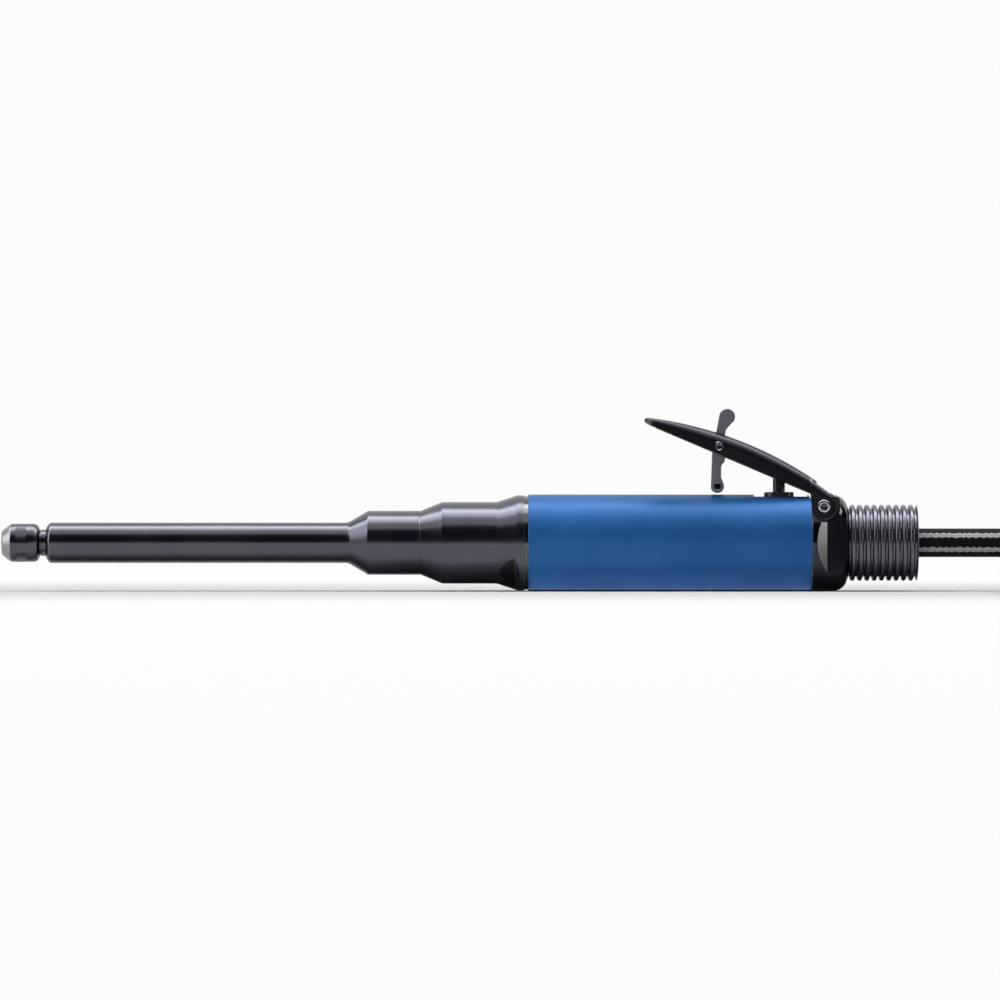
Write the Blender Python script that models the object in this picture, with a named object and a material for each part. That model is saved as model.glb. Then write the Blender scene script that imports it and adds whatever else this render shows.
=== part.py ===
"""Straight pneumatic die grinder with a long spindle neck, a lever throttle and an air hose.

The tool lies along X, with its collet towards -X and its hose towards +X. Z is up, and the
grip sleeve rests on Z = 0. Sizes are in metres. A station is a distance along the tool from
the front face of the collet nut, and a height is a distance above the tool's own axis.
"""
import math

import bmesh
import bpy
from mathutils import Matrix, Vector

# Clearances
SEAT_GAP = 0.0003            # between pieces that seat on each other
RUN_GAP = 0.0004             # between pieces that turn or slide on each other

# Facets round a piece
OUTER_SIDES = 40
NECK_SIDES = 32
INNER_SIDES = 20
SMALL_SIDES = 16

# Collet, collet nut and the spindle's nose
SHANK_DIAMETER = 0.0060
COLLET_WALL = 0.0007
COLLET_TAPER = 0.0003        # how much the radius narrows towards the tail
COLLET_LENGTH = 0.0130
COLLET_HEAD = 0.0034
COLLET_SLOTS = 3
COLLET_SLOT_WIDTH = 0.0008
COLLET_SLOT_LENGTH = 0.0090
NOSE_WALL = 0.0008           # spindle wall round the collet
NUT_DIAMETER = 0.0160
NUT_LENGTH = 0.0161
NUT_FACE_DIAMETER = 0.0100
NUT_NOSE_LENGTH = 0.0039
NUT_TAIL_LENGTH = 0.0019
NUT_TAIL_STEP = 0.0006       # how far the tail has come in halfway along
NUT_TAIL_WALL = 0.0006
NUT_LIP = 0.0012
NUT_CONE_LENGTH = 0.0016
NUT_FLATS = 4
NUT_FLAT_ACROSS = 0.0140
NUT_FLAT_WIDTH = 0.0043
NUT_FLAT_START = 0.0062
NUT_FLAT_TURN = math.radians(30.0)

# Spindle and the bearings in the neck
SHAFT_DIAMETER = 0.0060
NECK_DIAMETER = 0.0110
NECK_FLAT_ACROSS = 0.0094
NECK_FLAT_WIDTH = 0.0016
NECK_FLAT_TURN = math.radians(150.0)
NOSE_NECK_LENGTH = 0.0026    # bare spindle between the nut and the tube
SPINDLE_BEARING_DIAMETER = 0.0130
SPINDLE_BEARING_WIDTH = 0.0050
TAIL_BEARING_DIAMETER = 0.0190
TAIL_BEARING_WIDTH = 0.0060
BEARING_GROOVE = 0.0004      # depth of the shield groove between the two rings
SPACER_WALL = 0.0012
RETAINER_WIDTH = 0.0030

# Neck tube
TUBE_DIAMETER = 0.0170
TUBE_LENGTH = 0.1267
TUBE_CHAMFER = 0.0015
TUBE_LIP = 0.0018
TUBE_CONE = 0.0084
BARREL_DIAMETER = 0.0269
BARREL_LENGTH = 0.0221
BARREL_SHOULDER = 0.0012

# Front housing
HOUSING_DIAMETER = 0.0343
HOUSING_CONE = 0.0090
HOUSING_BODY = 0.0229
HOUSING_FLARE = 0.0086
HOUSING_RIM = 0.0030
HOUSING_RIM_STEP = 0.0003    # how far the rim lies below the grip's surface
HOUSING_NOSE_WALL = 0.0060
HOUSING_CAVITY = 0.0240
SOCKET_DEPTH = 0.0084
SOCKET_WALL = 0.0017
FRONT_FLAT_ACROSS = 0.0350
FRONT_FLAT_TURN = math.radians(-45.0)
FRONT_FLAT_SETBACK = 0.0044  # from the housing's rear face to the foot of the run-out

# Spacer ring between the front housing and the grip sleeve
RING_WIDTH = 0.0010
RING_STEP = 0.0006

# Vane motor
CASE_WALL = 0.0023
CASE_FLOOR = 0.0030
SPIGOT_WALL = 0.0030
PLATE_LENGTH = 0.0065
PLATE_HUB_WALL = 0.0012
CYLINDER_LENGTH = 0.0580
CYLINDER_WALL = 0.0015
CYLINDER_PORTS = 4
CYLINDER_PORT_WIDTH = 0.0060
CYLINDER_PORT_HEIGHT = 0.0040
ROTOR_OFFSET = 0.0012        # from the rotor's axis to the cylinder bore's axis
ROTOR_SHAFT_DIAMETER = 0.0080
ROTOR_BEARING_DIAMETER = 0.0160
ROTOR_BEARING_WIDTH = 0.0050
VANES = 5
VANE_THICKNESS = 0.0010
VANE_DEPTH = 0.0056
COUPLING_DIAMETER = 0.0170
COUPLING_LENGTH = 0.0200
COUPLING_GROOVE = 0.0012

# Grip sleeve
GRIP_DIAMETER = 0.0405
SLEEVE_WALL = 0.00175
SPOT_FACE_DEPTH = 0.00085
SPOT_FACE_LENGTH = 0.0227
SPOT_FACE_SETBACK = 0.0011
SLEEVE_CUT_LENGTH = 0.0010
SLEEVE_CUT_DEPTH = 0.0031

# Valve housing
CASE_ENGAGEMENT = 0.0141     # how far the housing reaches into the motor case
VALVE_BODY_LENGTH = 0.0295
COLLAR_LENGTH = 0.0154
COLLAR_ROUND = 0.0063
REAR_FLAT_ACROSS = 0.0320
REAR_FLAT_SETBACK = 0.0060   # from the collar's front face to the foot of the run-out
RUN_OUT_SLOPE = 1.0          # rise of a spanner flat's end wall for each unit of length
INLET_DIAMETER = 0.0090
INLET_THREAD_DIAMETER = 0.0140
INLET_THREAD_DEPTH = 0.0215
STUB_LENGTH = 0.0165         # the stub that carries the exhaust hose
PASSAGE_DIAMETER = 0.0036
EXHAUST_PORT_DIAMETER = 0.0032
EXHAUST_PORT_SPREAD = 0.0100
EXHAUST_PORT_HEIGHT = 0.0030

# Throttle valve
VALVE_SETBACK = 0.0135       # from the valve's axis to the collar's front face
VALVE_BORE = 0.0106
BUSH_DIAMETER = 0.0126
BUSH_PROUD = 0.00105         # above the grip's surface
BUSH_LENGTH = 0.0072
SEAL_THICKNESS = 0.0013
SEAT_THICKNESS = 0.0030
SEAT_HEIGHT = 0.0020
SEAT_WALL = 0.0020
STEM_DIAMETER = 0.0051
STEM_PROUD = 0.00725
STEM_CHAMFER = 0.0006
STEM_WAIST = 0.0032
POPPET_DIAMETER = 0.0086
POPPET_THICKNESS = 0.0026
GUIDE_DIAMETER = 0.0034
GUIDE_LENGTH = 0.0026
VALVE_WIRE = 0.0008
VALVE_SPRING_DIAMETER = 0.0066
VALVE_SPRING_TURNS = 4
CAP_HEIGHT = -0.0100
CAP_RECESS = 0.0008

# Air inlet
STRAINER_LENGTH = 0.0100
STRAINER_WALL = 0.0008
BARB_DIAMETER = 0.0080
BARB_LENGTH = 0.0092
NIPPLE_BORE = 0.0050
FERRULE_LENGTH = 0.0090
FERRULE_DIAMETER = 0.0140

# Corrugated exhaust hose
EXHAUST_DIAMETER = 0.0320
EXHAUST_VALLEY = 0.0284
EXHAUST_WALL = 0.0012
RIB_PITCH = 0.00307
RIB_COUNT = 9
RIB_ROUND = 0.25             # share of a rib's height taken up by its round crest
RIB_CUT = 0.32               # share of the last rib left where the hose was cut
EXHAUST_SIDES = 28

# Lever throttle, measured from its hinge
HINGE_SETBACK = 0.0051       # behind the collar's front face
HINGE_DEPTH = 0.00505        # below the grip's surface
HINGE_PIN_DIAMETER = 0.0040
HINGE_HEAD_DIAMETER = 0.0056
HINGE_HEAD = 0.0006
POCKET_RADIUS = 0.0065
LEVER_WIDTH = 0.0166
LEVER_WALL = 0.0020
LEVER_REACH = 0.0751
LEVER_TIP_HEIGHT = 0.0374
LEVER_TIP_DEPTH = 0.0023
LEVER_NOSE = 0.0018          # length over which the tip rounds off below
LEVER_ARC_RADIUS = 0.157
LEVER_EDGE_RADIUS = 0.0042
LEVER_TIP_ROUND = 0.0080
LEVER_HEEL_X = 0.0028
LEVER_HEEL_HEIGHT = 0.0066
LEVER_EAR_RADIUS = 0.0050
LEVER_EAR_TOP = 0.0053
WEB_END = -0.0030            # where the web stops short of the housing's lug
PAD_RADIUS = 0.0032

# Safety latch, measured from its pivot
LATCH_PIVOT_X = -0.0438
LATCH_PIVOT_HEIGHT = 0.0255
LATCH_THICKNESS = 0.0050
LATCH_PIN_DIAMETER = 0.0032
LATCH_FOOT_GAP = 0.00065     # between the foot and the grip sleeve
LATCH_FOOT_RADIUS = 0.00275
LATCH_FOOT_HOLE = 0.0030
LATCH_FOOT_X = -0.0006
LATCH_HEAD_RADIUS = 0.0033
LATCH_HEAD_X = 0.0035
LATCH_HEAD_HEIGHT = 0.0122
LATCH_WAIST = 0.0029         # half its width at the pivot
LATCH_LEG = 0.0009           # how far the slim leg reaches behind the pivot
LATCH_STEP = 0.0073          # from the pivot down to the step in the leg
LATCH_NECK = 0.0025          # how far the neck under the head reaches behind the pivot
LATCH_SLOT_FRONT = 0.0148
LATCH_SLOT_REAR = 0.0048
LATCH_WIRE = 0.0007
LATCH_SPRING_DIAMETER = 0.0050
LATCH_SPRING_TURNS = 2
LATCH_SPRING_LEG = 0.0060

# Supply hose, its coil, tie and plug
HOSE_DIAMETER = 0.0120
HOSE_LEVEL = 0.0340          # how far it stays level behind the exhaust hose
COIL_X = 0.3010              # where the hose runs into the coil, from the middle of the tool
COIL_RADIUS = 0.0780
COIL_PITCH = 0.0128
COIL_REVERSAL = 1.8          # turns before the spiral turns outwards again
LOOP_POINTS = 24
COIL_TURNS = 79 / LOOP_POINTS
TIE_WIDTH = 0.0100
TIE_THICKNESS = 0.0009
TIE_SLACK = 0.0005
PLUG_FERRULE_LENGTH = 0.0180
PLUG_COLLAR_DIAMETER = 0.0130
PLUG_COLLAR_LENGTH = 0.0080
PLUG_STEM_DIAMETER = 0.0090
PLUG_TIP_DIAMETER = 0.0118
PLUG_LENGTH = 0.0310
PLUG_BORE = 0.0056

# Radii that several pieces share
GRIP_R = GRIP_DIAMETER / 2
CASE_R = GRIP_R - SLEEVE_WALL - SEAT_GAP
CASE_BORE_R = CASE_R - CASE_WALL
MOTOR_R = CASE_BORE_R - SEAT_GAP
CYLINDER_BORE_R = MOTOR_R - CYLINDER_WALL - ROTOR_OFFSET
ROTOR_R = CYLINDER_BORE_R - ROTOR_OFFSET - SEAT_GAP
SPIGOT_R = FRONT_FLAT_ACROSS / 2 - SOCKET_WALL - SEAT_GAP
COLLET_R = SHANK_DIAMETER / 2 + COLLET_WALL
NOSE_BORE_R = COLLET_R + SEAT_GAP
THREAD_R = NOSE_BORE_R + NOSE_WALL
NUT_BORE_R = THREAD_R + SEAT_GAP
EXHAUST_BORE_R = EXHAUST_VALLEY / 2 - EXHAUST_WALL
STUB_R = EXHAUST_BORE_R - SEAT_GAP

# Stations along the tool
COLLET_FRONT = NUT_LIP + 2 * SEAT_GAP
SPINDLE_FRONT = COLLET_FRONT + COLLET_HEAD + SEAT_GAP
COLLET_REAR = COLLET_FRONT + COLLET_LENGTH
TUBE_FRONT = NUT_LENGTH + NOSE_NECK_LENGTH
BEARING_A = TUBE_FRONT + TUBE_LIP + SEAT_GAP
BEARING_B = BEARING_A + SPINDLE_BEARING_WIDTH + SEAT_GAP
SPACER_FRONT = BEARING_B + SPINDLE_BEARING_WIDTH + SEAT_GAP
TUBE_REAR = TUBE_FRONT + TUBE_LENGTH
BARREL_FRONT = TUBE_REAR + TUBE_CONE
SHOULDER = BARREL_FRONT + BARREL_SHOULDER
TAIL_BEARING = SHOULDER + SEAT_GAP
RETAINER = TAIL_BEARING + TAIL_BEARING_WIDTH + SEAT_GAP
HOUSING_SPIGOT = RETAINER + RETAINER_WIDTH + SEAT_GAP
HOUSING_FRONT = BARREL_FRONT + BARREL_LENGTH
HOUSING_STRAIGHT = HOUSING_FRONT + HOUSING_CONE
FLARE_FRONT = HOUSING_STRAIGHT + HOUSING_BODY
RIM_FRONT = FLARE_FRONT + HOUSING_FLARE
HOUSING_REAR = RIM_FRONT + HOUSING_RIM
CAVITY_FRONT = HOUSING_FRONT + HOUSING_NOSE_WALL
SOCKET_FRONT = HOUSING_REAR - SOCKET_DEPTH
COUPLING_MIDDLE = (CAVITY_FRONT + SOCKET_FRONT) / 2
RING_FRONT = HOUSING_REAR + SEAT_GAP
SLEEVE_FRONT = RING_FRONT + RING_WIDTH + SEAT_GAP
PLATE_A = SLEEVE_FRONT + CASE_FLOOR + SEAT_GAP
CYLINDER_FRONT = PLATE_A + PLATE_LENGTH + SEAT_GAP
CYLINDER_REAR = CYLINDER_FRONT + CYLINDER_LENGTH
PLATE_B = CYLINDER_REAR + SEAT_GAP
PLATE_B_REAR = PLATE_B + PLATE_LENGTH
CASE_REAR = PLATE_B_REAR + CASE_ENGAGEMENT
VALVE_BODY_FRONT = CASE_REAR + SEAT_GAP
COLLAR_FRONT = VALVE_BODY_FRONT + VALVE_BODY_LENGTH
SLEEVE_REAR = COLLAR_FRONT - SEAT_GAP
COLLAR_REAR = COLLAR_FRONT + COLLAR_LENGTH
STUB_REAR = COLLAR_REAR + STUB_LENGTH
EXHAUST_FRONT = COLLAR_REAR + SEAT_GAP
LENGTH = EXHAUST_FRONT + (RIB_COUNT + RIB_CUT) * RIB_PITCH
VALVE_STATION = COLLAR_FRONT - VALVE_SETBACK
THREAD_FLOOR = STUB_REAR - INLET_THREAD_DEPTH
FERRULE_FRONT = STUB_REAR + SEAT_GAP
FERRULE_REAR = FERRULE_FRONT + FERRULE_LENGTH

# Heights in the throttle valve
BUSH_TOP = GRIP_R + BUSH_PROUD
FLANGE_FLOOR = CASE_R + SEAT_GAP
BUSH_FOOT = FLANGE_FLOOR - BUSH_LENGTH
SEAL_TOP = BUSH_FOOT - SEAT_GAP
SEAT_TOP = SEAT_HEIGHT + SEAT_THICKNESS
PASSAGE_HEIGHT = (SEAL_TOP - SEAL_THICKNESS + SEAT_TOP) / 2
STEM_TOP = GRIP_R + STEM_PROUD
POPPET_TOP = SEAT_HEIGHT - SEAT_GAP
POPPET_FOOT = POPPET_TOP - POPPET_THICKNESS

# The lever's hinge and the latch's pivot
HINGE_STATION = COLLAR_FRONT + HINGE_SETBACK
HINGE_HEIGHT = GRIP_R - HINGE_DEPTH
LUG_WIDTH = LEVER_WIDTH - 2 * LEVER_WALL - 2 * SEAT_GAP
LATCH_FOOT_HEIGHT = GRIP_R + LATCH_FOOT_GAP + LATCH_FOOT_RADIUS - HINGE_HEIGHT - LATCH_PIVOT_HEIGHT
PAD_X = VALVE_STATION - HINGE_STATION
PAD_HEIGHT = STEM_TOP + SEAT_GAP + PAD_RADIUS - HINGE_HEIGHT

# The coil's two layers
COIL_HEIGHT = HOSE_DIAMETER / 2 + TIE_SLACK + TIE_THICKNESS
LAYER_RISE = (HOSE_DIAMETER + FERRULE_DIAMETER) / 2 + SEAT_GAP

# How a turned piece is laid along each axis
ALONG_X = (0.0, 0.0, 0.0)
ALONG_Y = (0.0, 0.0, math.pi / 2)
ALONG_Z = (0.0, -math.pi / 2, 0.0)
SHARP_ANGLE = math.radians(35.0)
BEYOND = 0.01                # how far a cutter reaches past what it cuts


def clear_scene():
    for obj in list(bpy.data.objects):
        bpy.data.objects.remove(obj, do_unlink=True)


def finish(name, colour, roughness, metallic):
    """A plain material with one colour, roughness and metallic value."""
    made = bpy.data.materials.new(name)
    made.use_nodes = True
    shader = made.node_tree.nodes["Principled BSDF"]
    shader.inputs["Base Color"].default_value = (*colour, 1.0)
    shader.inputs["Roughness"].default_value = roughness
    shader.inputs["Metallic"].default_value = metallic
    return made


def axis_empty(name, parent=None, at=(0.0, 0.0, 0.0)):
    """An empty that carries the pieces of one body and marks its axis."""
    empty = bpy.data.objects.new(name, None)
    empty.empty_display_size = 0.01
    empty.location = at
    empty.parent = parent
    bpy.context.collection.objects.link(empty)
    return empty


def solid(name, bm, coat, parent, at=(0.0, 0.0, 0.0), turn=ALONG_X):
    """Turn a bmesh into a named, smooth shaded object under its parent."""
    bmesh.ops.recalc_face_normals(bm, faces=bm.faces)
    mesh = bpy.data.meshes.new(name)
    bm.to_mesh(mesh)
    bm.free()
    mesh.shade_smooth()
    mesh.set_sharp_from_angle(angle=SHARP_ANGLE)
    if coat:
        mesh.materials.append(coat)
    obj = bpy.data.objects.new(name, mesh)
    obj.parent = parent
    obj.location = at
    obj.rotation_euler = turn
    bpy.context.collection.objects.link(obj)
    return obj


def turned(name, profile, sides, coat, parent, at=(0.0, 0.0, 0.0), turn=ALONG_X):
    """Revolve (station, radius) points round local X. A profile off the axis closes on itself."""
    bm = bmesh.new()
    verts = [bm.verts.new((station, 0.0, radius)) for station, radius in profile]
    edges = [bm.edges.new(pair) for pair in zip(verts, verts[1:])]
    if profile[0][1] > 0.0 and profile[-1][1] > 0.0:
        edges.append(bm.edges.new((verts[-1], verts[0])))
    bmesh.ops.spin(bm, geom=verts + edges, cent=(0, 0, 0), axis=(1, 0, 0),
                   angle=2 * math.pi, steps=sides, use_merge=True)
    bmesh.ops.remove_doubles(bm, verts=bm.verts, dist=1e-7)
    return solid(name, bm, coat, parent, at, turn)


def ring_profile(front, rear, inner, outer):
    return [(front, inner), (front, outer), (rear, outer), (rear, inner)]


def rod_profile(front, rear, radius):
    return [(front, 0.0), (front, radius), (rear, radius), (rear, 0.0)]


def add_box(bm, low, high, turn_x=0.0):
    """Add a box between two corners, turned about the tool's axis."""
    low, high = Vector(low), Vector(high)
    place = Matrix.Rotation(turn_x, 4, "X") @ Matrix.Translation((low + high) / 2)
    bmesh.ops.create_cube(bm, size=1.0, matrix=place @ Matrix.Diagonal((*(high - low), 1.0)))


def add_prism(bm, outline, y_low, y_high, turn_x=0.0):
    """Add a side-view (x, z) outline extruded across Y, turned about the tool's axis."""
    face = bm.faces.new([bm.verts.new((x, y_low, z)) for x, z in outline])
    grown = bmesh.ops.extrude_face_region(bm, geom=[face])["geom"]
    top = [item for item in grown if isinstance(item, bmesh.types.BMVert)]
    bmesh.ops.translate(bm, verts=top, vec=(0.0, y_high - y_low, 0.0))
    bmesh.ops.rotate(bm, verts=list(face.verts) + top, cent=(0, 0, 0),
                     matrix=Matrix.Rotation(turn_x, 3, "X"))


def arc_points(x, z, radius, start, end, steps):
    """Points on a circle from one angle to another, in degrees."""
    angles = [math.radians(start + (end - start) * i / steps) for i in range(steps + 1)]
    return [(x + radius * math.cos(a), z + radius * math.sin(a)) for a in angles]


def combine(obj, tool, operation="DIFFERENCE"):
    """Cut or join one object with a hidden tool object."""
    tool.hide_render = True
    tool.display_type = "WIRE"
    modifier = obj.modifiers.new(tool.name, "BOOLEAN")
    modifier.operation = operation
    modifier.solver = "EXACT"
    modifier.object = tool


def drill(obj, name, start, end, radius, at, turn, sides=INNER_SIDES):
    """Cut a round hole along one of the three axes."""
    tool = turned(name, rod_profile(start, end, radius), sides, None, obj.parent, at, turn)
    combine(obj, tool)


def tube(name, points, diameter, resolution, coat, parent=None):
    """A round tube with closed ends along a list of points."""
    curve = bpy.data.curves.new(name, "CURVE")
    curve.dimensions = "3D"
    curve.bevel_depth = diameter / 2
    curve.bevel_resolution = resolution
    curve.use_fill_caps = True
    spline = curve.splines.new("POLY")
    spline.points.add(len(points) - 1)
    for slot, point in zip(spline.points, points):
        slot.co = (*point, 1.0)
    curve.materials.append(coat)
    obj = bpy.data.objects.new(name, curve)
    obj.parent = parent
    bpy.context.collection.objects.link(obj)
    return obj


def bearing(name, front, width, bore_r, outer_r, coat, parent):
    """A shielded ball bearing: two rings with a shallow groove between them on each side."""
    low = bore_r + (outer_r - bore_r) * 0.3
    high = bore_r + (outer_r - bore_r) * 0.7
    rear = front + width
    profile = [(front, bore_r), (front, low), (front + BEARING_GROOVE, low),
               (front + BEARING_GROOVE, high), (front, high), (front, outer_r), (rear, outer_r),
               (rear, high), (rear - BEARING_GROOVE, high), (rear - BEARING_GROOVE, low),
               (rear, low), (rear, bore_r)]
    return turned(name, profile, SMALL_SIDES, coat, parent)


def make_collet_nut(axis, coat):
    """The closing nut: a cone nose, a spanner groove with four flats and a chamfered tail."""
    outer_r = NUT_DIAMETER / 2
    profile = [
        (0.0, COLLET_R), (0.0, NUT_FACE_DIAMETER / 2), (NUT_NOSE_LENGTH, outer_r),
        (NUT_LENGTH - NUT_TAIL_LENGTH, outer_r), (NUT_LENGTH - NUT_TAIL_LENGTH / 2, outer_r - NUT_TAIL_STEP),
        (NUT_LENGTH, NUT_BORE_R + NUT_TAIL_WALL),
        (NUT_LENGTH, NUT_BORE_R), (NUT_LIP + NUT_CONE_LENGTH, NUT_BORE_R), (NUT_LIP, COLLET_R)]
    nut = turned("collet_nut", profile, OUTER_SIDES, coat, axis)
    bm = bmesh.new()
    for index in range(NUT_FLATS):
        turn = -(math.pi / 2 - NUT_FLAT_TURN) + 2 * math.pi * index / NUT_FLATS
        add_box(bm, (NUT_FLAT_START, -outer_r, NUT_FLAT_ACROSS / 2),
                (NUT_FLAT_START + NUT_FLAT_WIDTH, outer_r, outer_r + BEYOND), -turn)
    combine(nut, solid("nut_flat_cutter", bm, None, axis))


def make_collet(axis, coat):
    """The split collet: a cone head against the nut and a tapered, slotted tail."""
    head_r = NUT_BORE_R - 2 * SEAT_GAP
    cone = NUT_CONE_LENGTH * (head_r - COLLET_R) / (NUT_BORE_R - COLLET_R)
    head_rear = COLLET_FRONT + COLLET_HEAD
    bore_r = SHANK_DIAMETER / 2
    profile = [
        (COLLET_FRONT, bore_r), (COLLET_FRONT, COLLET_R), (COLLET_FRONT + cone, head_r),
        (head_rear, head_r), (head_rear, COLLET_R), (COLLET_REAR, COLLET_R - COLLET_TAPER),
        (COLLET_REAR, bore_r)]
    collet = turned("collet", profile, INNER_SIDES, coat, axis)
    bm = bmesh.new()
    for index in range(COLLET_SLOTS):
        add_box(bm, (COLLET_FRONT - BEYOND, -COLLET_SLOT_WIDTH / 2, bore_r / 2),
                (COLLET_FRONT + COLLET_SLOT_LENGTH, COLLET_SLOT_WIDTH / 2, bore_r + BEYOND),
                2 * math.pi * (index + 0.5) / COLLET_SLOTS)
    combine(collet, solid("collet_slot_cutter", bm, None, axis))


def make_spindle(axis, coat):
    """The spindle: a tapered socket in its nose, a flatted neck and a long slim shaft."""
    neck_front = NUT_LENGTH + SEAT_GAP
    neck_rear = BEARING_A - SEAT_GAP
    shaft_r = SHAFT_DIAMETER / 2
    rear = COUPLING_MIDDLE - SEAT_GAP
    socket = COLLET_REAR + 2 * SEAT_GAP
    profile = [
        (socket, 0.0), (socket, NOSE_BORE_R - COLLET_TAPER), (SPINDLE_FRONT, NOSE_BORE_R),
        (SPINDLE_FRONT, THREAD_R), (neck_front, THREAD_R), (neck_front, NECK_DIAMETER / 2),
        (neck_rear, NECK_DIAMETER / 2), (neck_rear, shaft_r), (rear, shaft_r), (rear, 0.0)]
    spindle = turned("spindle", profile, INNER_SIDES, coat, axis)
    middle = (neck_front + TUBE_FRONT) / 2
    bm = bmesh.new()
    for side in (NECK_FLAT_TURN, NECK_FLAT_TURN + math.pi):
        add_box(bm, (middle - NECK_FLAT_WIDTH / 2, -NECK_DIAMETER, NECK_FLAT_ACROSS / 2),
                (middle + NECK_FLAT_WIDTH / 2, NECK_DIAMETER, NECK_DIAMETER), side)
    combine(spindle, solid("neck_flat_cutter", bm, None, axis))


def make_neck(tool, steel, bearing_steel):
    """The neck tube, swelling to a barrel, with the spindle's bearings inside it."""
    tube_r = TUBE_DIAMETER / 2
    mouth_r = NECK_DIAMETER / 2 + RUN_GAP
    bore_r = SPINDLE_BEARING_DIAMETER / 2 + SEAT_GAP
    barrel_bore_r = TAIL_BEARING_DIAMETER / 2 + SEAT_GAP
    rear = HOUSING_FRONT - SEAT_GAP
    profile = [
        (TUBE_FRONT, mouth_r), (TUBE_FRONT, mouth_r + SEAT_GAP), (TUBE_FRONT + TUBE_CHAMFER, tube_r),
        (TUBE_REAR, tube_r), (BARREL_FRONT, BARREL_DIAMETER / 2), (rear, BARREL_DIAMETER / 2),
        (rear, barrel_bore_r), (SHOULDER, barrel_bore_r), (SHOULDER, bore_r),
        (TUBE_FRONT + TUBE_LIP, bore_r), (TUBE_FRONT + TUBE_LIP, mouth_r)]
    turned("neck_tube", profile, NECK_SIDES, steel, tool)
    shaft_hole_r = SHAFT_DIAMETER / 2 + SEAT_GAP
    ring_r = SPINDLE_BEARING_DIAMETER / 2
    bearing("front_bearing", BEARING_A, SPINDLE_BEARING_WIDTH, shaft_hole_r, ring_r, bearing_steel, tool)
    bearing("second_bearing", BEARING_B, SPINDLE_BEARING_WIDTH, shaft_hole_r, ring_r, bearing_steel, tool)
    spacer = ring_profile(SPACER_FRONT, TAIL_BEARING - SEAT_GAP, ring_r - SPACER_WALL, ring_r)
    turned("bearing_spacer", spacer, SMALL_SIDES, steel, tool)
    tail_r = TAIL_BEARING_DIAMETER / 2
    bearing("tail_bearing", TAIL_BEARING, TAIL_BEARING_WIDTH, shaft_hole_r, tail_r, bearing_steel, tool)
    retainer = ring_profile(RETAINER, RETAINER + RETAINER_WIDTH, ring_r, tail_r)
    turned("bearing_retainer", retainer, SMALL_SIDES, steel, tool)


def make_front_housing(tool, coat):
    """The flared housing that joins the neck to the motor, with two spanner flats."""
    rim_r = GRIP_R - HOUSING_RIM_STEP
    body_r = HOUSING_DIAMETER / 2
    spigot_r = TAIL_BEARING_DIAMETER / 2
    shaft_hole_r = SHAFT_DIAMETER / 2 + 3 * RUN_GAP
    socket_r = SPIGOT_R + SEAT_GAP
    profile = [
        (HOUSING_SPIGOT, shaft_hole_r), (HOUSING_SPIGOT, spigot_r), (HOUSING_FRONT, spigot_r),
        (HOUSING_FRONT, BARREL_DIAMETER / 2), (HOUSING_STRAIGHT, body_r), (FLARE_FRONT, body_r),
        (RIM_FRONT, rim_r), (HOUSING_REAR, rim_r), (HOUSING_REAR, socket_r), (SOCKET_FRONT, socket_r),
        (SOCKET_FRONT, HOUSING_CAVITY / 2), (CAVITY_FRONT, HOUSING_CAVITY / 2),
        (CAVITY_FRONT, shaft_hole_r)]
    housing = turned("front_housing", profile, OUTER_SIDES, coat, tool)
    flat = FRONT_FLAT_ACROSS / 2
    foot = HOUSING_REAR - FRONT_FLAT_SETBACK
    front = FLARE_FRONT - HOUSING_BODY / 2
    outline = [(front, flat), (foot, flat), (foot + BEYOND / RUN_OUT_SLOPE, flat + BEYOND),
               (front, flat + BEYOND)]
    bm = bmesh.new()
    for side in (0.0, math.pi):
        add_prism(bm, outline, -GRIP_R, GRIP_R, math.pi / 2 - FRONT_FLAT_TURN + side)
    combine(housing, solid("front_flat_cutter", bm, None, tool))


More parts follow.
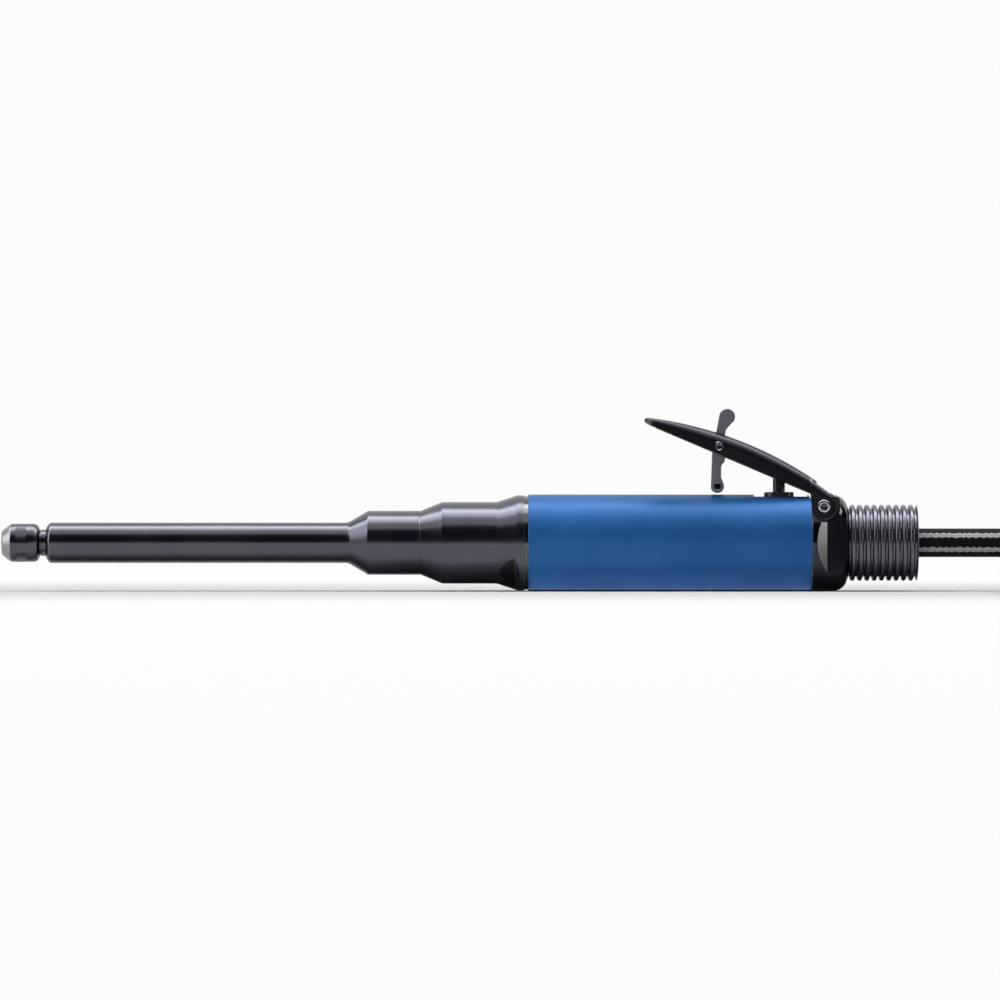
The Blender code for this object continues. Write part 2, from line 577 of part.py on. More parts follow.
def make_motor(tool, spindle_axis, case_coat, steel, bearing_steel, vane_coat):
    """The vane motor: case, end plates, offset cylinder, rotor with its vanes, and coupling."""
    case = [
        (SOCKET_FRONT + SEAT_GAP, SPIGOT_R - SPIGOT_WALL), (SOCKET_FRONT + SEAT_GAP, SPIGOT_R),
        (SLEEVE_FRONT, SPIGOT_R), (SLEEVE_FRONT, CASE_R), (CASE_REAR, CASE_R), (CASE_REAR, CASE_BORE_R),
        (PLATE_A - SEAT_GAP, CASE_BORE_R), (PLATE_A - SEAT_GAP, SPIGOT_R - SPIGOT_WALL)]
    turned("motor_case", case, NECK_SIDES, case_coat, tool)
    shaft_r = ROTOR_SHAFT_DIAMETER / 2
    hub_r = shaft_r + PLATE_HUB_WALL
    race_r = ROTOR_BEARING_DIAMETER / 2
    pocket_r = race_r + SEAT_GAP
    front_floor = PLATE_A + ROTOR_BEARING_WIDTH + SEAT_GAP
    front_plate = [
        (PLATE_A, pocket_r), (PLATE_A, MOTOR_R), (PLATE_A + PLATE_LENGTH, MOTOR_R),
        (PLATE_A + PLATE_LENGTH, hub_r), (front_floor, hub_r), (front_floor, pocket_r)]
    turned("front_end_plate", front_plate, INNER_SIDES, steel, tool)
    rear_floor = PLATE_B_REAR - ROTOR_BEARING_WIDTH - SEAT_GAP
    rear_plate = [
        (PLATE_B, hub_r), (PLATE_B, MOTOR_R), (PLATE_B_REAR, MOTOR_R), (PLATE_B_REAR, pocket_r),
        (rear_floor, pocket_r), (rear_floor, hub_r)]
    turned("rear_end_plate", rear_plate, INNER_SIDES, steel, tool)
    bore_r = shaft_r + SEAT_GAP
    bearing("rotor_front_bearing", PLATE_A, ROTOR_BEARING_WIDTH, bore_r, race_r, bearing_steel, tool)
    bearing("rotor_rear_bearing", rear_floor + SEAT_GAP, ROTOR_BEARING_WIDTH, bore_r, race_r,
            bearing_steel, tool)

    cylinder = turned("motor_cylinder", rod_profile(CYLINDER_FRONT, CYLINDER_REAR, MOTOR_R),
                      INNER_SIDES, steel, tool)
    drill(cylinder, "cylinder_bore_cutter", CYLINDER_FRONT - BEYOND, CYLINDER_REAR + BEYOND,
          CYLINDER_BORE_R, (0.0, 0.0, -ROTOR_OFFSET), ALONG_X, INNER_SIDES + 4)
    bm = bmesh.new()
    for index in range(CYLINDER_PORTS):
        middle = CYLINDER_FRONT + CYLINDER_LENGTH * (index + 0.5) / CYLINDER_PORTS
        add_box(bm, (middle - CYLINDER_PORT_WIDTH / 2, ROTOR_R / 2, -CYLINDER_PORT_HEIGHT / 2),
                (middle + CYLINDER_PORT_WIDTH / 2, MOTOR_R + BEYOND, CYLINDER_PORT_HEIGHT / 2))
    combine(cylinder, solid("cylinder_port_cutter", bm, None, tool))

    body_front = CYLINDER_FRONT + RUN_GAP
    body_rear = CYLINDER_REAR - RUN_GAP
    rotor_profile = [
        (COUPLING_MIDDLE + SEAT_GAP, 0.0), (COUPLING_MIDDLE + SEAT_GAP, shaft_r), (body_front, shaft_r),
        (body_front, ROTOR_R), (body_rear, ROTOR_R), (body_rear, shaft_r), (PLATE_B_REAR, shaft_r),
        (PLATE_B_REAR, 0.0)]
    rotor = turned("rotor", rotor_profile, INNER_SIDES, steel, spindle_axis)
    slot_floor = ROTOR_R - VANE_DEPTH - 2 * SEAT_GAP
    slot_half = VANE_THICKNESS / 2 + SEAT_GAP
    bm = bmesh.new()
    for index in range(VANES):
        turn = 2 * math.pi * index / VANES
        add_box(bm, (body_front - RUN_GAP / 2, -slot_half, slot_floor),
                (body_rear + RUN_GAP / 2, slot_half, ROTOR_R + BEYOND), turn)
        vane = bmesh.new()
        vane_top = ROTOR_R * math.cos(math.pi / INNER_SIDES)
        add_box(vane, (body_front + SEAT_GAP, -VANE_THICKNESS / 2, vane_top - VANE_DEPTH),
                (body_rear - SEAT_GAP, VANE_THICKNESS / 2, vane_top), turn)
        solid(f"vane_{index + 1}", vane, vane_coat, spindle_axis)
    combine(rotor, solid("vane_slot_cutter", bm, None, spindle_axis))

    half = COUPLING_LENGTH / 2
    outer_r = COUPLING_DIAMETER / 2
    coupling = [
        (COUPLING_MIDDLE - half, SHAFT_DIAMETER / 2 + SEAT_GAP), (COUPLING_MIDDLE - half, outer_r),
        (COUPLING_MIDDLE - COUPLING_GROOVE, outer_r), (COUPLING_MIDDLE, outer_r - COUPLING_GROOVE),
        (COUPLING_MIDDLE + COUPLING_GROOVE, outer_r), (COUPLING_MIDDLE + half, outer_r),
        (COUPLING_MIDDLE + half, bore_r), (COUPLING_MIDDLE, bore_r),
        (COUPLING_MIDDLE, SHAFT_DIAMETER / 2 + SEAT_GAP)]
    turned("shaft_coupling", coupling, INNER_SIDES, steel, spindle_axis)


def make_grip(tool, ring_coat, sleeve_coat):
    """The bright spacer ring and the grip sleeve, with the valve's hole and spot face."""
    ring = ring_profile(RING_FRONT, RING_FRONT + RING_WIDTH, SPIGOT_R + SEAT_GAP, GRIP_R - RING_STEP)
    turned("spacer_ring", ring, OUTER_SIDES, ring_coat, tool)
    inner_r = CASE_R + SEAT_GAP
    sleeve = turned("grip_sleeve", ring_profile(SLEEVE_FRONT, SLEEVE_REAR, inner_r, GRIP_R),
                    OUTER_SIDES, sleeve_coat, tool)
    drill(sleeve, "sleeve_hole_cutter", 0.0, GRIP_R + BEYOND, BUSH_DIAMETER / 2 + SEAT_GAP,
          (VALVE_STATION, 0.0, 0.0), ALONG_Z)
    face = GRIP_R - SPOT_FACE_DEPTH
    rear = SLEEVE_REAR - SPOT_FACE_SETBACK
    bm = bmesh.new()
    add_box(bm, (rear - SPOT_FACE_LENGTH, -GRIP_R, face), (rear, GRIP_R, GRIP_R + BEYOND))
    combine(sleeve, solid("spot_face_cutter", bm, None, tool))
    foot = GRIP_R - SLEEVE_CUT_DEPTH
    outline = [(SLEEVE_REAR + SLEEVE_CUT_LENGTH / 2, foot - SLEEVE_CUT_DEPTH / 2),
               (SLEEVE_REAR - SLEEVE_CUT_LENGTH, GRIP_R),
               (SLEEVE_REAR - 2 * SLEEVE_CUT_LENGTH, GRIP_R + SLEEVE_CUT_DEPTH),
               (SLEEVE_REAR + BEYOND, GRIP_R + SLEEVE_CUT_DEPTH),
               (SLEEVE_REAR + BEYOND, foot - SLEEVE_CUT_DEPTH / 2)]
    bm = bmesh.new()
    add_prism(bm, outline, -GRIP_R, GRIP_R)
    combine(sleeve, solid("sleeve_end_cutter", bm, None, tool))


def make_valve_housing(tool, coat):
    """The rear housing: air passages, the valve's cross bore, the lever's lug and spanner flats."""
    thread_r = INLET_THREAD_DIAMETER / 2
    inlet_r = INLET_DIAMETER / 2
    front = PLATE_B_REAR + 2 * SEAT_GAP
    rounded = arc_points(COLLAR_REAR - COLLAR_ROUND, GRIP_R - COLLAR_ROUND, COLLAR_ROUND, 90.0, 0.0, 4)
    profile = [
        (front, 0.0), (front, MOTOR_R), (VALVE_BODY_FRONT, MOTOR_R), (VALVE_BODY_FRONT, CASE_R),
        (COLLAR_FRONT, CASE_R), (COLLAR_FRONT, GRIP_R), *rounded, (COLLAR_REAR, STUB_R),
        (STUB_REAR, STUB_R), (STUB_REAR, thread_r), (THREAD_FLOOR, thread_r), (THREAD_FLOOR, inlet_r),
        (VALVE_STATION, inlet_r), (VALVE_STATION, 0.0)]
    housing = turned("valve_housing", profile, OUTER_SIDES, coat, tool)
    valve_at = (VALVE_STATION, 0.0, 0.0)
    drill(housing, "valve_bore_cutter", -GRIP_R - BEYOND, GRIP_R + BEYOND, VALVE_BORE / 2, valve_at, ALONG_Z)
    drill(housing, "passage_cutter", front - BEYOND, VALVE_STATION, PASSAGE_DIAMETER / 2,
          (0.0, 0.0, PASSAGE_HEIGHT), ALONG_X, 12)
    bm = bmesh.new()
    for side in (-1, 1):
        for level in (-1, 1):
            spot = Vector(((front + STUB_REAR) / 2, side * EXHAUST_PORT_SPREAD, level * EXHAUST_PORT_HEIGHT))
            bmesh.ops.create_cone(
                bm, cap_ends=True, segments=12, radius1=EXHAUST_PORT_DIAMETER / 2,
                radius2=EXHAUST_PORT_DIAMETER / 2, depth=STUB_REAR - front + BEYOND,
                matrix=Matrix.Translation(spot) @ Matrix.Rotation(math.pi / 2, 4, "Y"))
    combine(housing, solid("exhaust_port_cutter", bm, None, tool))
    add_hinge_cuts(housing)
    add_rear_flats(housing)


def add_hinge_cuts(housing):
    """Mill a pocket each side of the lug for the lever's ears, and bore the lug for the pin."""
    hinge_at = (HINGE_STATION, 0.0, HINGE_HEIGHT)
    pocket = arc_points(HINGE_STATION, HINGE_HEIGHT, POCKET_RADIUS, 180.0, 360.0, 12)
    pocket.append((HINGE_STATION + POCKET_RADIUS, HINGE_HEIGHT + POCKET_RADIUS))
    pocket.append((HINGE_STATION - POCKET_RADIUS, HINGE_HEIGHT + POCKET_RADIUS))
    bm = bmesh.new()
    for y_low, y_high in ((-GRIP_R - BEYOND, -LUG_WIDTH / 2), (LUG_WIDTH / 2, GRIP_R + BEYOND)):
        add_prism(bm, pocket, y_low, y_high)
    combine(housing, solid("hinge_pocket_cutter", bm, None, housing.parent))
    drill(housing, "hinge_hole_cutter", -LUG_WIDTH, LUG_WIDTH, HINGE_PIN_DIAMETER / 2 + SEAT_GAP,
          hinge_at, ALONG_Y, SMALL_SIDES)


def add_rear_flats(housing):
    """Mill two spanner flats on the collar, each with a sloping end wall."""
    flat = REAR_FLAT_ACROSS / 2
    foot = COLLAR_FRONT + REAR_FLAT_SETBACK
    outline = [(foot, flat), (foot - BEYOND / RUN_OUT_SLOPE, flat + BEYOND),
               (COLLAR_REAR + BEYOND, flat + BEYOND), (COLLAR_REAR + BEYOND, flat)]
    bm = bmesh.new()
    for side in (math.pi / 2, -math.pi / 2):
        add_prism(bm, outline, -GRIP_R, GRIP_R, side)
    combine(housing, solid("rear_flat_cutter", bm, None, housing.parent))


def make_valve(tool, valve_axis, dark, steel, brass, rubber):
    """The throttle valve in its cross bore: bush, seal, seat, stem with its poppet, spring, cap."""
    at = (VALVE_STATION, 0.0, 0.0)
    stem_r = STEM_DIAMETER / 2
    body_r = VALVE_BORE / 2 - SEAT_GAP
    guide_r = stem_r + RUN_GAP
    flange_r = BUSH_DIAMETER / 2
    bush = [(BUSH_FOOT, guide_r), (BUSH_FOOT, body_r), (FLANGE_FLOOR, body_r), (FLANGE_FLOOR, flange_r),
            (BUSH_TOP - STEM_CHAMFER, flange_r), (BUSH_TOP, flange_r - STEM_CHAMFER), (BUSH_TOP, guide_r)]
    turned("valve_bush", bush, NECK_SIDES, dark, tool, at, ALONG_Z)
    seal = ring_profile(SEAL_TOP - SEAL_THICKNESS, SEAL_TOP, guide_r, body_r)
    turned("valve_seal", seal, SMALL_SIDES, rubber, tool, at, ALONG_Z)
    seat = ring_profile(SEAT_HEIGHT, SEAT_TOP, body_r - SEAT_WALL, body_r)
    turned("valve_seat", seat, SMALL_SIDES, brass, tool, at, ALONG_Z)

    waist_top = SEAL_TOP - SEAL_THICKNESS - RUN_GAP
    guide_foot = POPPET_FOOT - GUIDE_LENGTH
    stem = [(guide_foot, 0.0), (guide_foot, GUIDE_DIAMETER / 2), (POPPET_FOOT, GUIDE_DIAMETER / 2),
            (POPPET_FOOT, POPPET_DIAMETER / 2), (POPPET_TOP, POPPET_DIAMETER / 2),
            (POPPET_TOP, STEM_WAIST / 2), (waist_top, STEM_WAIST / 2), (waist_top, stem_r),
            (STEM_TOP - STEM_CHAMFER, stem_r), (STEM_TOP, stem_r - STEM_CHAMFER), (STEM_TOP, 0.0)]
    turned("valve_stem", stem, INNER_SIDES, steel, valve_axis, turn=ALONG_Z)

    lift = VALVE_WIRE / 2 + SEAT_GAP
    spring_top = POPPET_FOOT - lift
    spring_foot = CAP_HEIGHT + lift
    points = []
    for step in range(VALVE_SPRING_TURNS * 10 + 1):
        angle = 2 * math.pi * step / 10
        height = spring_top + (spring_foot - spring_top) * step / (VALVE_SPRING_TURNS * 10)
        points.append((VALVE_STATION + VALVE_SPRING_DIAMETER / 2 * math.cos(angle),
                       VALVE_SPRING_DIAMETER / 2 * math.sin(angle), height))
    tube("valve_spring", points, VALVE_WIRE, 1, steel, tool)
    cap = rod_profile(CAP_RECESS - CASE_R, CAP_HEIGHT, body_r)
    turned("valve_cap", cap, SMALL_SIDES, steel, tool, at, ALONG_Z)


def make_inlet(tool, steel, brass):
    """The air inlet behind the valve: strainer cup, threaded nipple with its barb, and ferrule."""
    cup_r = INLET_DIAMETER / 2 - SEAT_GAP
    cup_rear = THREAD_FLOOR - SEAT_GAP
    cup_front = cup_rear - STRAINER_LENGTH
    hollow_r = cup_r - STRAINER_WALL
    cup = [(cup_front, 0.0), (cup_front, cup_r), (cup_rear, cup_r), (cup_rear, hollow_r),
           (cup_front + STRAINER_WALL, hollow_r), (cup_front + STRAINER_WALL, 0.0)]
    turned("inlet_strainer", cup, SMALL_SIDES, brass, tool)
    thread_r = INLET_THREAD_DIAMETER / 2 - SEAT_GAP
    front = THREAD_FLOOR + SEAT_GAP
    barb_rear = STUB_REAR + BARB_LENGTH
    nipple = [(front, NIPPLE_BORE / 2), (front, thread_r), (STUB_REAR - SEAT_GAP, thread_r),
              (STUB_REAR - SEAT_GAP, BARB_DIAMETER / 2), (barb_rear, BARB_DIAMETER / 2),
              (barb_rear, NIPPLE_BORE / 2)]
    turned("inlet_nipple", nipple, SMALL_SIDES, brass, tool)
    ferrule = ring_profile(FERRULE_FRONT, FERRULE_REAR, BARB_DIAMETER / 2 + SEAT_GAP, FERRULE_DIAMETER / 2)
    turned("hose_ferrule", ferrule, INNER_SIDES, steel, tool)


def make_exhaust_hose(tool, coat):
    """The corrugated exhaust hose: a rounded rib at each pitch, and a cut end within a rib."""
    crest_r = EXHAUST_DIAMETER / 2
    valley_r = EXHAUST_VALLEY / 2
    shoulder_r = crest_r - (crest_r - valley_r) * RIB_ROUND
    profile = [(EXHAUST_FRONT, EXHAUST_BORE_R)]
    for index in range(RIB_COUNT):
        start = EXHAUST_FRONT + index * RIB_PITCH
        profile += [(start, valley_r), (start + RIB_PITCH / 5, shoulder_r), (start + RIB_PITCH / 2, crest_r),
                    (start + RIB_PITCH * 4 / 5, shoulder_r)]
    profile += [(LENGTH - RIB_CUT * RIB_PITCH, valley_r), (LENGTH, shoulder_r), (LENGTH, EXHAUST_BORE_R)]
    turned("exhaust_hose", profile, EXHAUST_SIDES, coat, tool)


def lever_top(x):
    """Height of the lever's arched back over the hinge at a distance x from it."""
    tip = Vector((-LEVER_REACH, LEVER_TIP_HEIGHT))
    heel = Vector((LEVER_HEEL_X, LEVER_HEEL_HEIGHT))
    chord = heel - tip
    across = Vector((-chord.y, chord.x)).normalized()
    middle = (tip + heel) / 2 - across * math.sqrt(LEVER_ARC_RADIUS ** 2 - (chord.length / 2) ** 2)
    if x <= LEVER_HEEL_X:
        return middle.y + math.sqrt(LEVER_ARC_RADIUS ** 2 - (x - middle.x) ** 2)
    share = (x - LEVER_HEEL_X) / (LEVER_EAR_RADIUS - LEVER_HEEL_X)
    return LEVER_HEEL_HEIGHT * math.sqrt(max(1.0 - share ** 2, 0.0)) + SEAT_GAP


def lever_bottom(x):
    """Height of the lever's lower edge: a rounded tip, a straight side, and round ears on the pin."""
    ear_front = -LEVER_EAR_RADIUS
    if x < ear_front:
        tip = LEVER_TIP_HEIGHT - LEVER_TIP_DEPTH
        share = (x + LEVER_REACH) / (ear_front + LEVER_REACH)
        into_nose = max(1.0 - (x + LEVER_REACH) / LEVER_NOSE, 0.0)
        return tip + (LEVER_EAR_TOP - tip) * share + LEVER_TIP_DEPTH * 0.7 * into_nose ** 2
    return -math.sqrt(max(LEVER_EAR_RADIUS ** 2 - x ** 2, 0.0))


def lever_half_width(x):
    """Half the lever's width, rounded in plan towards the tip."""
    into_round = max(LEVER_TIP_ROUND - (x + LEVER_REACH), 0.0) / LEVER_TIP_ROUND
    return LEVER_WIDTH / 2 * math.sqrt(1.0 - 0.8 * into_round ** 2)


def make_lever(hinge, coat):
    """The pressed channel lever: lofted sections, hollowed, with a pad over the valve stem."""
    side = [LEVER_TIP_ROUND * share - LEVER_REACH for share in (0.0, 0.04, 0.12, 0.22, 0.35, 0.65)]
    straight = [LEVER_TIP_ROUND - LEVER_REACH + (LEVER_REACH - LEVER_TIP_ROUND - LEVER_EAR_RADIUS) * i / 8
                for i in range(8)]
    ear = [LEVER_EAR_RADIUS * share for share in (-0.995, -0.85, -0.5, 0.0, 0.4, 0.7, 0.9, 0.97)]
    bm = bmesh.new()
    rings = []
    for x in side + straight + [-LEVER_EAR_RADIUS * 1.005] + ear:
        top, bottom, half = lever_top(x), lever_bottom(x), lever_half_width(x)
        edge = min(LEVER_EDGE_RADIUS, (top - bottom) * 0.45)
        rim = [(half, bottom)]
        rim += arc_points(half - edge, top - edge, edge, 0.0, 90.0, 3)
        rim += [(-y, z) for y, z in reversed(rim)]
        rings.append([bm.verts.new((x, y, z)) for y, z in rim])
    for ring, after in zip(rings, rings[1:]):
        for i in range(len(ring)):
            j = (i + 1) % len(ring)
            bm.faces.new((ring[i], ring[j], after[j], after[i]))
    bm.faces.new(rings[0])
    bm.faces.new(rings[-1])
    lever = solid("lever", bm, coat, hinge)

    inner_half = LEVER_WIDTH / 2 - LEVER_WALL
    start = LEVER_TIP_ROUND * 0.6 - LEVER_REACH
    xs = [start + (WEB_END - start) * i / 10 for i in range(11)]
    floor = -LEVER_EAR_RADIUS - BEYOND
    ceiling = LEVER_TIP_HEIGHT + BEYOND
    outline = [(x, lever_top(x) - LEVER_WALL) for x in xs]
    outline += [(WEB_END, ceiling), (LEVER_EAR_RADIUS + BEYOND, ceiling),
                (LEVER_EAR_RADIUS + BEYOND, floor), (start, floor)]
    bm = bmesh.new()
    add_prism(bm, outline, -inner_half, inner_half)
    combine(lever, solid("lever_channel_cutter", bm, None, hinge))

    pad_half = inner_half + LEVER_WALL / 4
    pad = turned("lever_pad_form", rod_profile(-pad_half, pad_half, PAD_RADIUS), INNER_SIDES, None,
                 hinge, (PAD_X, 0.0, PAD_HEIGHT), ALONG_Y)
    combine(lever, pad, "UNION")
    slot_half = LATCH_THICKNESS / 2 + RUN_GAP
    bm = bmesh.new()
    add_box(bm, (LATCH_PIVOT_X - LATCH_SLOT_FRONT, -slot_half, LATCH_PIVOT_HEIGHT - BEYOND),
            (LATCH_PIVOT_X + LATCH_SLOT_REAR, slot_half, ceiling + BEYOND))
    combine(lever, solid("latch_slot_cutter", bm, None, hinge))
    drill(lever, "lever_hinge_cutter", -LEVER_WIDTH, LEVER_WIDTH, HINGE_PIN_DIAMETER / 2 + SEAT_GAP,
          (0.0, 0.0, 0.0), ALONG_Y, SMALL_SIDES)
    drill(lever, "latch_pin_cutter", -LEVER_WIDTH, LEVER_WIDTH, LATCH_PIN_DIAMETER / 2 + SEAT_GAP,
          (LATCH_PIVOT_X, 0.0, LATCH_PIVOT_HEIGHT), ALONG_Y, SMALL_SIDES)


def make_pins(tool, hinge, steel):
    """The riveted hinge pin with a dimpled head each side, and the latch's plain pin."""
    half = LEVER_WIDTH / 2 + SEAT_GAP
    end = half + HINGE_HEAD
    shank_r = HINGE_PIN_DIAMETER / 2
    head_r = HINGE_HEAD_DIAMETER / 2
    dimple = (end - HINGE_HEAD, 0.0)
    side = [dimple, (end, head_r * 0.5), (end, head_r), (half, head_r), (half, shank_r)]
    profile = side + [(-y, r) for y, r in reversed(side)]
    turned("hinge_pin", profile, SMALL_SIDES, steel, tool, (HINGE_STATION, 0.0, HINGE_HEIGHT), ALONG_Y)
    turned("latch_pin", rod_profile(-half, half, LATCH_PIN_DIAMETER / 2), SMALL_SIDES, steel, hinge,
           (LATCH_PIVOT_X, 0.0, LATCH_PIVOT_HEIGHT), ALONG_Y)


def make_latch(latch_axis, hinge, coat, steel):
    """The safety latch: a foot that stops the lever, a waist on the pin and a finger tab."""
    foot_z = LATCH_FOOT_HEIGHT
    outline = arc_points(LATCH_FOOT_X, foot_z, LATCH_FOOT_RADIUS, 190.0, 385.0, 10)
    outline += [(LATCH_LEG, foot_z * 0.78), (LATCH_LEG, -LATCH_STEP * 1.25),
                (LATCH_LEG * 1.5, -LATCH_STEP * 1.06), (LATCH_WAIST * 0.8, -LATCH_STEP * 0.94),
                (LATCH_WAIST * 0.93, -LATCH_STEP * 0.66), (LATCH_WAIST, 0.0),
                (LATCH_NECK, LATCH_HEAD_HEIGHT * 0.35), (LATCH_NECK * 1.2, LATCH_HEAD_HEIGHT * 0.56)]
    outline += arc_points(LATCH_HEAD_X, LATCH_HEAD_HEIGHT, LATCH_HEAD_RADIUS, -58.0, 176.0, 10)
    outline += [(-LATCH_NECK * 0.5, LATCH_HEAD_HEIGHT * 0.43), (-LATCH_WAIST * 0.93, 0.0),
                (-LATCH_WAIST, foot_z * 0.35)]
    bm = bmesh.new()
    add_prism(bm, outline, -LATCH_THICKNESS / 2, LATCH_THICKNESS / 2)
    latch = solid("safety_latch", bm, coat, latch_axis)
    drill(latch, "latch_pivot_cutter", -LATCH_THICKNESS, LATCH_THICKNESS, LATCH_PIN_DIAMETER / 2 + SEAT_GAP,
          (0.0, 0.0, 0.0), ALONG_Y, SMALL_SIDES)
    drill(latch, "latch_foot_cutter", -LATCH_THICKNESS, LATCH_THICKNESS, LATCH_FOOT_HOLE / 2,
          (LATCH_FOOT_X, 0.0, foot_z), ALONG_Y, 12)

    inner = LATCH_THICKNESS / 2 + LATCH_WIRE / 2 + RUN_GAP
    outer = LEVER_WIDTH / 2 - LEVER_WALL - LATCH_WIRE / 2 - SEAT_GAP
    radius = LATCH_SPRING_DIAMETER / 2
    steps = LATCH_SPRING_TURNS * 10
    slope = math.atan2(LEVER_TIP_HEIGHT - LEVER_TIP_DEPTH - LEVER_EAR_TOP, LEVER_REACH - LEVER_EAR_RADIUS)
    coil = []
    for step in range(steps + 1):
        angle = math.pi / 2 + slope + 2 * math.pi * step / 10
        coil.append(Vector((LATCH_PIVOT_X + radius * math.cos(angle), inner + (outer - inner) * step / steps,
                            LATCH_PIVOT_HEIGHT - radius * math.sin(angle))))
    leg = Vector((math.cos(slope), 0.0, -math.sin(slope))) * LATCH_SPRING_LEG
    tube("latch_spring", [coil[0] + leg, *coil, coil[-1] - leg], LATCH_WIRE, 1, steel, hinge)


def coil_point(turn):
    """A point of the coiled hose: it spirals in, climbs a layer, and spirals out again."""
    inwards = turn if turn < COIL_REVERSAL else 2 * COIL_REVERSAL - turn
    radius = COIL_RADIUS - COIL_PITCH * inwards
    climb = min(max(2 * (turn - COIL_REVERSAL) + 0.5, 0.0), 1.0)
    angle = math.pi / 2 - 2 * math.pi * turn
    return Vector((COIL_X + radius * math.cos(angle), radius * math.sin(angle) - COIL_RADIUS,
                   COIL_HEIGHT + LAYER_RISE * climb * climb * (3 - 2 * climb)))


def coil_direction(turn):
    step = 0.002
    return (coil_point(turn + step) - coil_point(turn - step)).normalized()


def coil_path(points_per_turn):
    """The coil's middle line, with a straight end one hose diameter long each way."""
    count = round(COIL_TURNS * points_per_turn)
    path = [coil_point(i / points_per_turn) for i in range(count + 1)]
    start, end = coil_direction(0.0), coil_direction(COIL_TURNS)
    start.z = end.z = 0.0
    return [path[0] - start * HOSE_DIAMETER, *path, path[-1] + end * HOSE_DIAMETER]


def path_length(points):
    return sum((b - a).length for a, b in zip(points, points[1:]))


def least_gap(points, apart):
    """Least clear distance between stretches of a tube that are some points apart."""
    closest = min((points[i] - points[j]).length
                  for i in range(len(points)) for j in range(i + apart, len(points)))
    return closest - HOSE_DIAMETER


def smooth_path(route, start_way, end_way, spacing):
    """Points at even spacing on a smooth curve through the route's points."""
    ways = [(after - before) / 2 for before, after in zip(route, route[2:])]
    ways = [start_way * (route[1] - route[0]).length, *ways, end_way * (route[-1] - route[-2]).length]
    fine = []
    for i in range(len(route) - 1):
        for step in range(40):
            t = step / 40
            fine.append(route[i] * (2 * t ** 3 - 3 * t ** 2 + 1) + ways[i] * (t ** 3 - 2 * t ** 2 + t)
                        + route[i + 1] * (3 * t ** 2 - 2 * t ** 3) + ways[i + 1] * (t ** 3 - t ** 2))
    fine.append(route[-1])
    count = max(round(path_length(fine) / spacing), 4)
    wanted = [path_length(fine) * i / count for i in range(1, count)]
    points, walked = [fine[0]], 0.0
    for before, after in zip(fine, fine[1:]):
        walked += (after - before).length
        while wanted and walked >= wanted[0]:
            points.append(after)
            wanted.pop(0)
    return points + [fine[-1]]


def make_supply_hose(hose_coat, steel, strap_coat):
    """The supply hose: a lead down to the floor, a tied coil, and a plug on its end."""
    coil = coil_path(LOOP_POINTS)
    tube("supply_hose_coil", coil, HOSE_DIAMETER, 1, hose_coat)
    way_in = coil_direction(0.0)
    meet = coil[0] - way_in * SEAT_GAP
    start = Vector((FERRULE_REAR + SEAT_GAP - LENGTH / 2, 0.0, GRIP_R))
    droop = Vector((LENGTH / 2 + HOSE_LEVEL, 0.0, GRIP_R))
    landing = meet - way_in * HOSE_DIAMETER
    route = [droop, (droop + landing) / 2, landing]
    lead = [start, *smooth_path(route, Vector((1.0, 0.0, 0.0)), way_in, 2 * HOSE_DIAMETER), meet]
    tube("supply_hose_lead", lead, HOSE_DIAMETER, 3, hose_coat)
    make_plug(coil, steel)
    make_tie(strap_coat)
    print(f"supply hose length {path_length(lead) + path_length(coil_path(96)):.3f} m")
    print(f"least gap in the coil {least_gap(coil_path(96), 60) * 1000:.2f} mm")


def make_plug(coil, steel):
    """The crimped ferrule and the quick plug on the hose's far end."""
    way = (coil[-1] - coil[-2]).normalized()
    end = axis_empty("plug_axis", None, coil[-1])
    end.rotation_euler = (0.0, 0.0, math.atan2(way.y, way.x))
    ferrule_rear = SEAT_GAP + PLUG_FERRULE_LENGTH
    ferrule_r = FERRULE_DIAMETER / 2
    groove_r = ferrule_r - SEAT_GAP * 2
    third = PLUG_FERRULE_LENGTH / 3
    ferrule = [(SEAT_GAP, 0.0), (SEAT_GAP, ferrule_r), (third, ferrule_r), (third * 1.2, groove_r),
               (third * 1.8, groove_r), (third * 2, ferrule_r), (ferrule_rear, ferrule_r),
               (ferrule_rear, 0.0)]
    turned("plug_ferrule", ferrule, INNER_SIDES, steel, end)
    front = ferrule_rear + SEAT_GAP
    rear = front + PLUG_LENGTH
    collar_rear = front + PLUG_COLLAR_LENGTH
    stem_r = PLUG_STEM_DIAMETER / 2
    tip_r = PLUG_TIP_DIAMETER / 2
    neck = (rear - collar_rear) / 4
    collar_r = PLUG_COLLAR_DIAMETER / 2
    plug = [(front, PLUG_BORE / 2), (front, collar_r), (collar_rear, collar_r), (collar_rear, stem_r),
            (collar_rear + neck, stem_r), (collar_rear + neck * 1.5, tip_r),
            (collar_rear + neck * 2.2, tip_r), (collar_rear + neck * 2.7, stem_r),
            (rear - STEM_CHAMFER, stem_r), (rear, stem_r - STEM_CHAMFER), (rear, PLUG_BORE / 2)]
    turned("air_plug", plug, INNER_SIDES, steel, end)


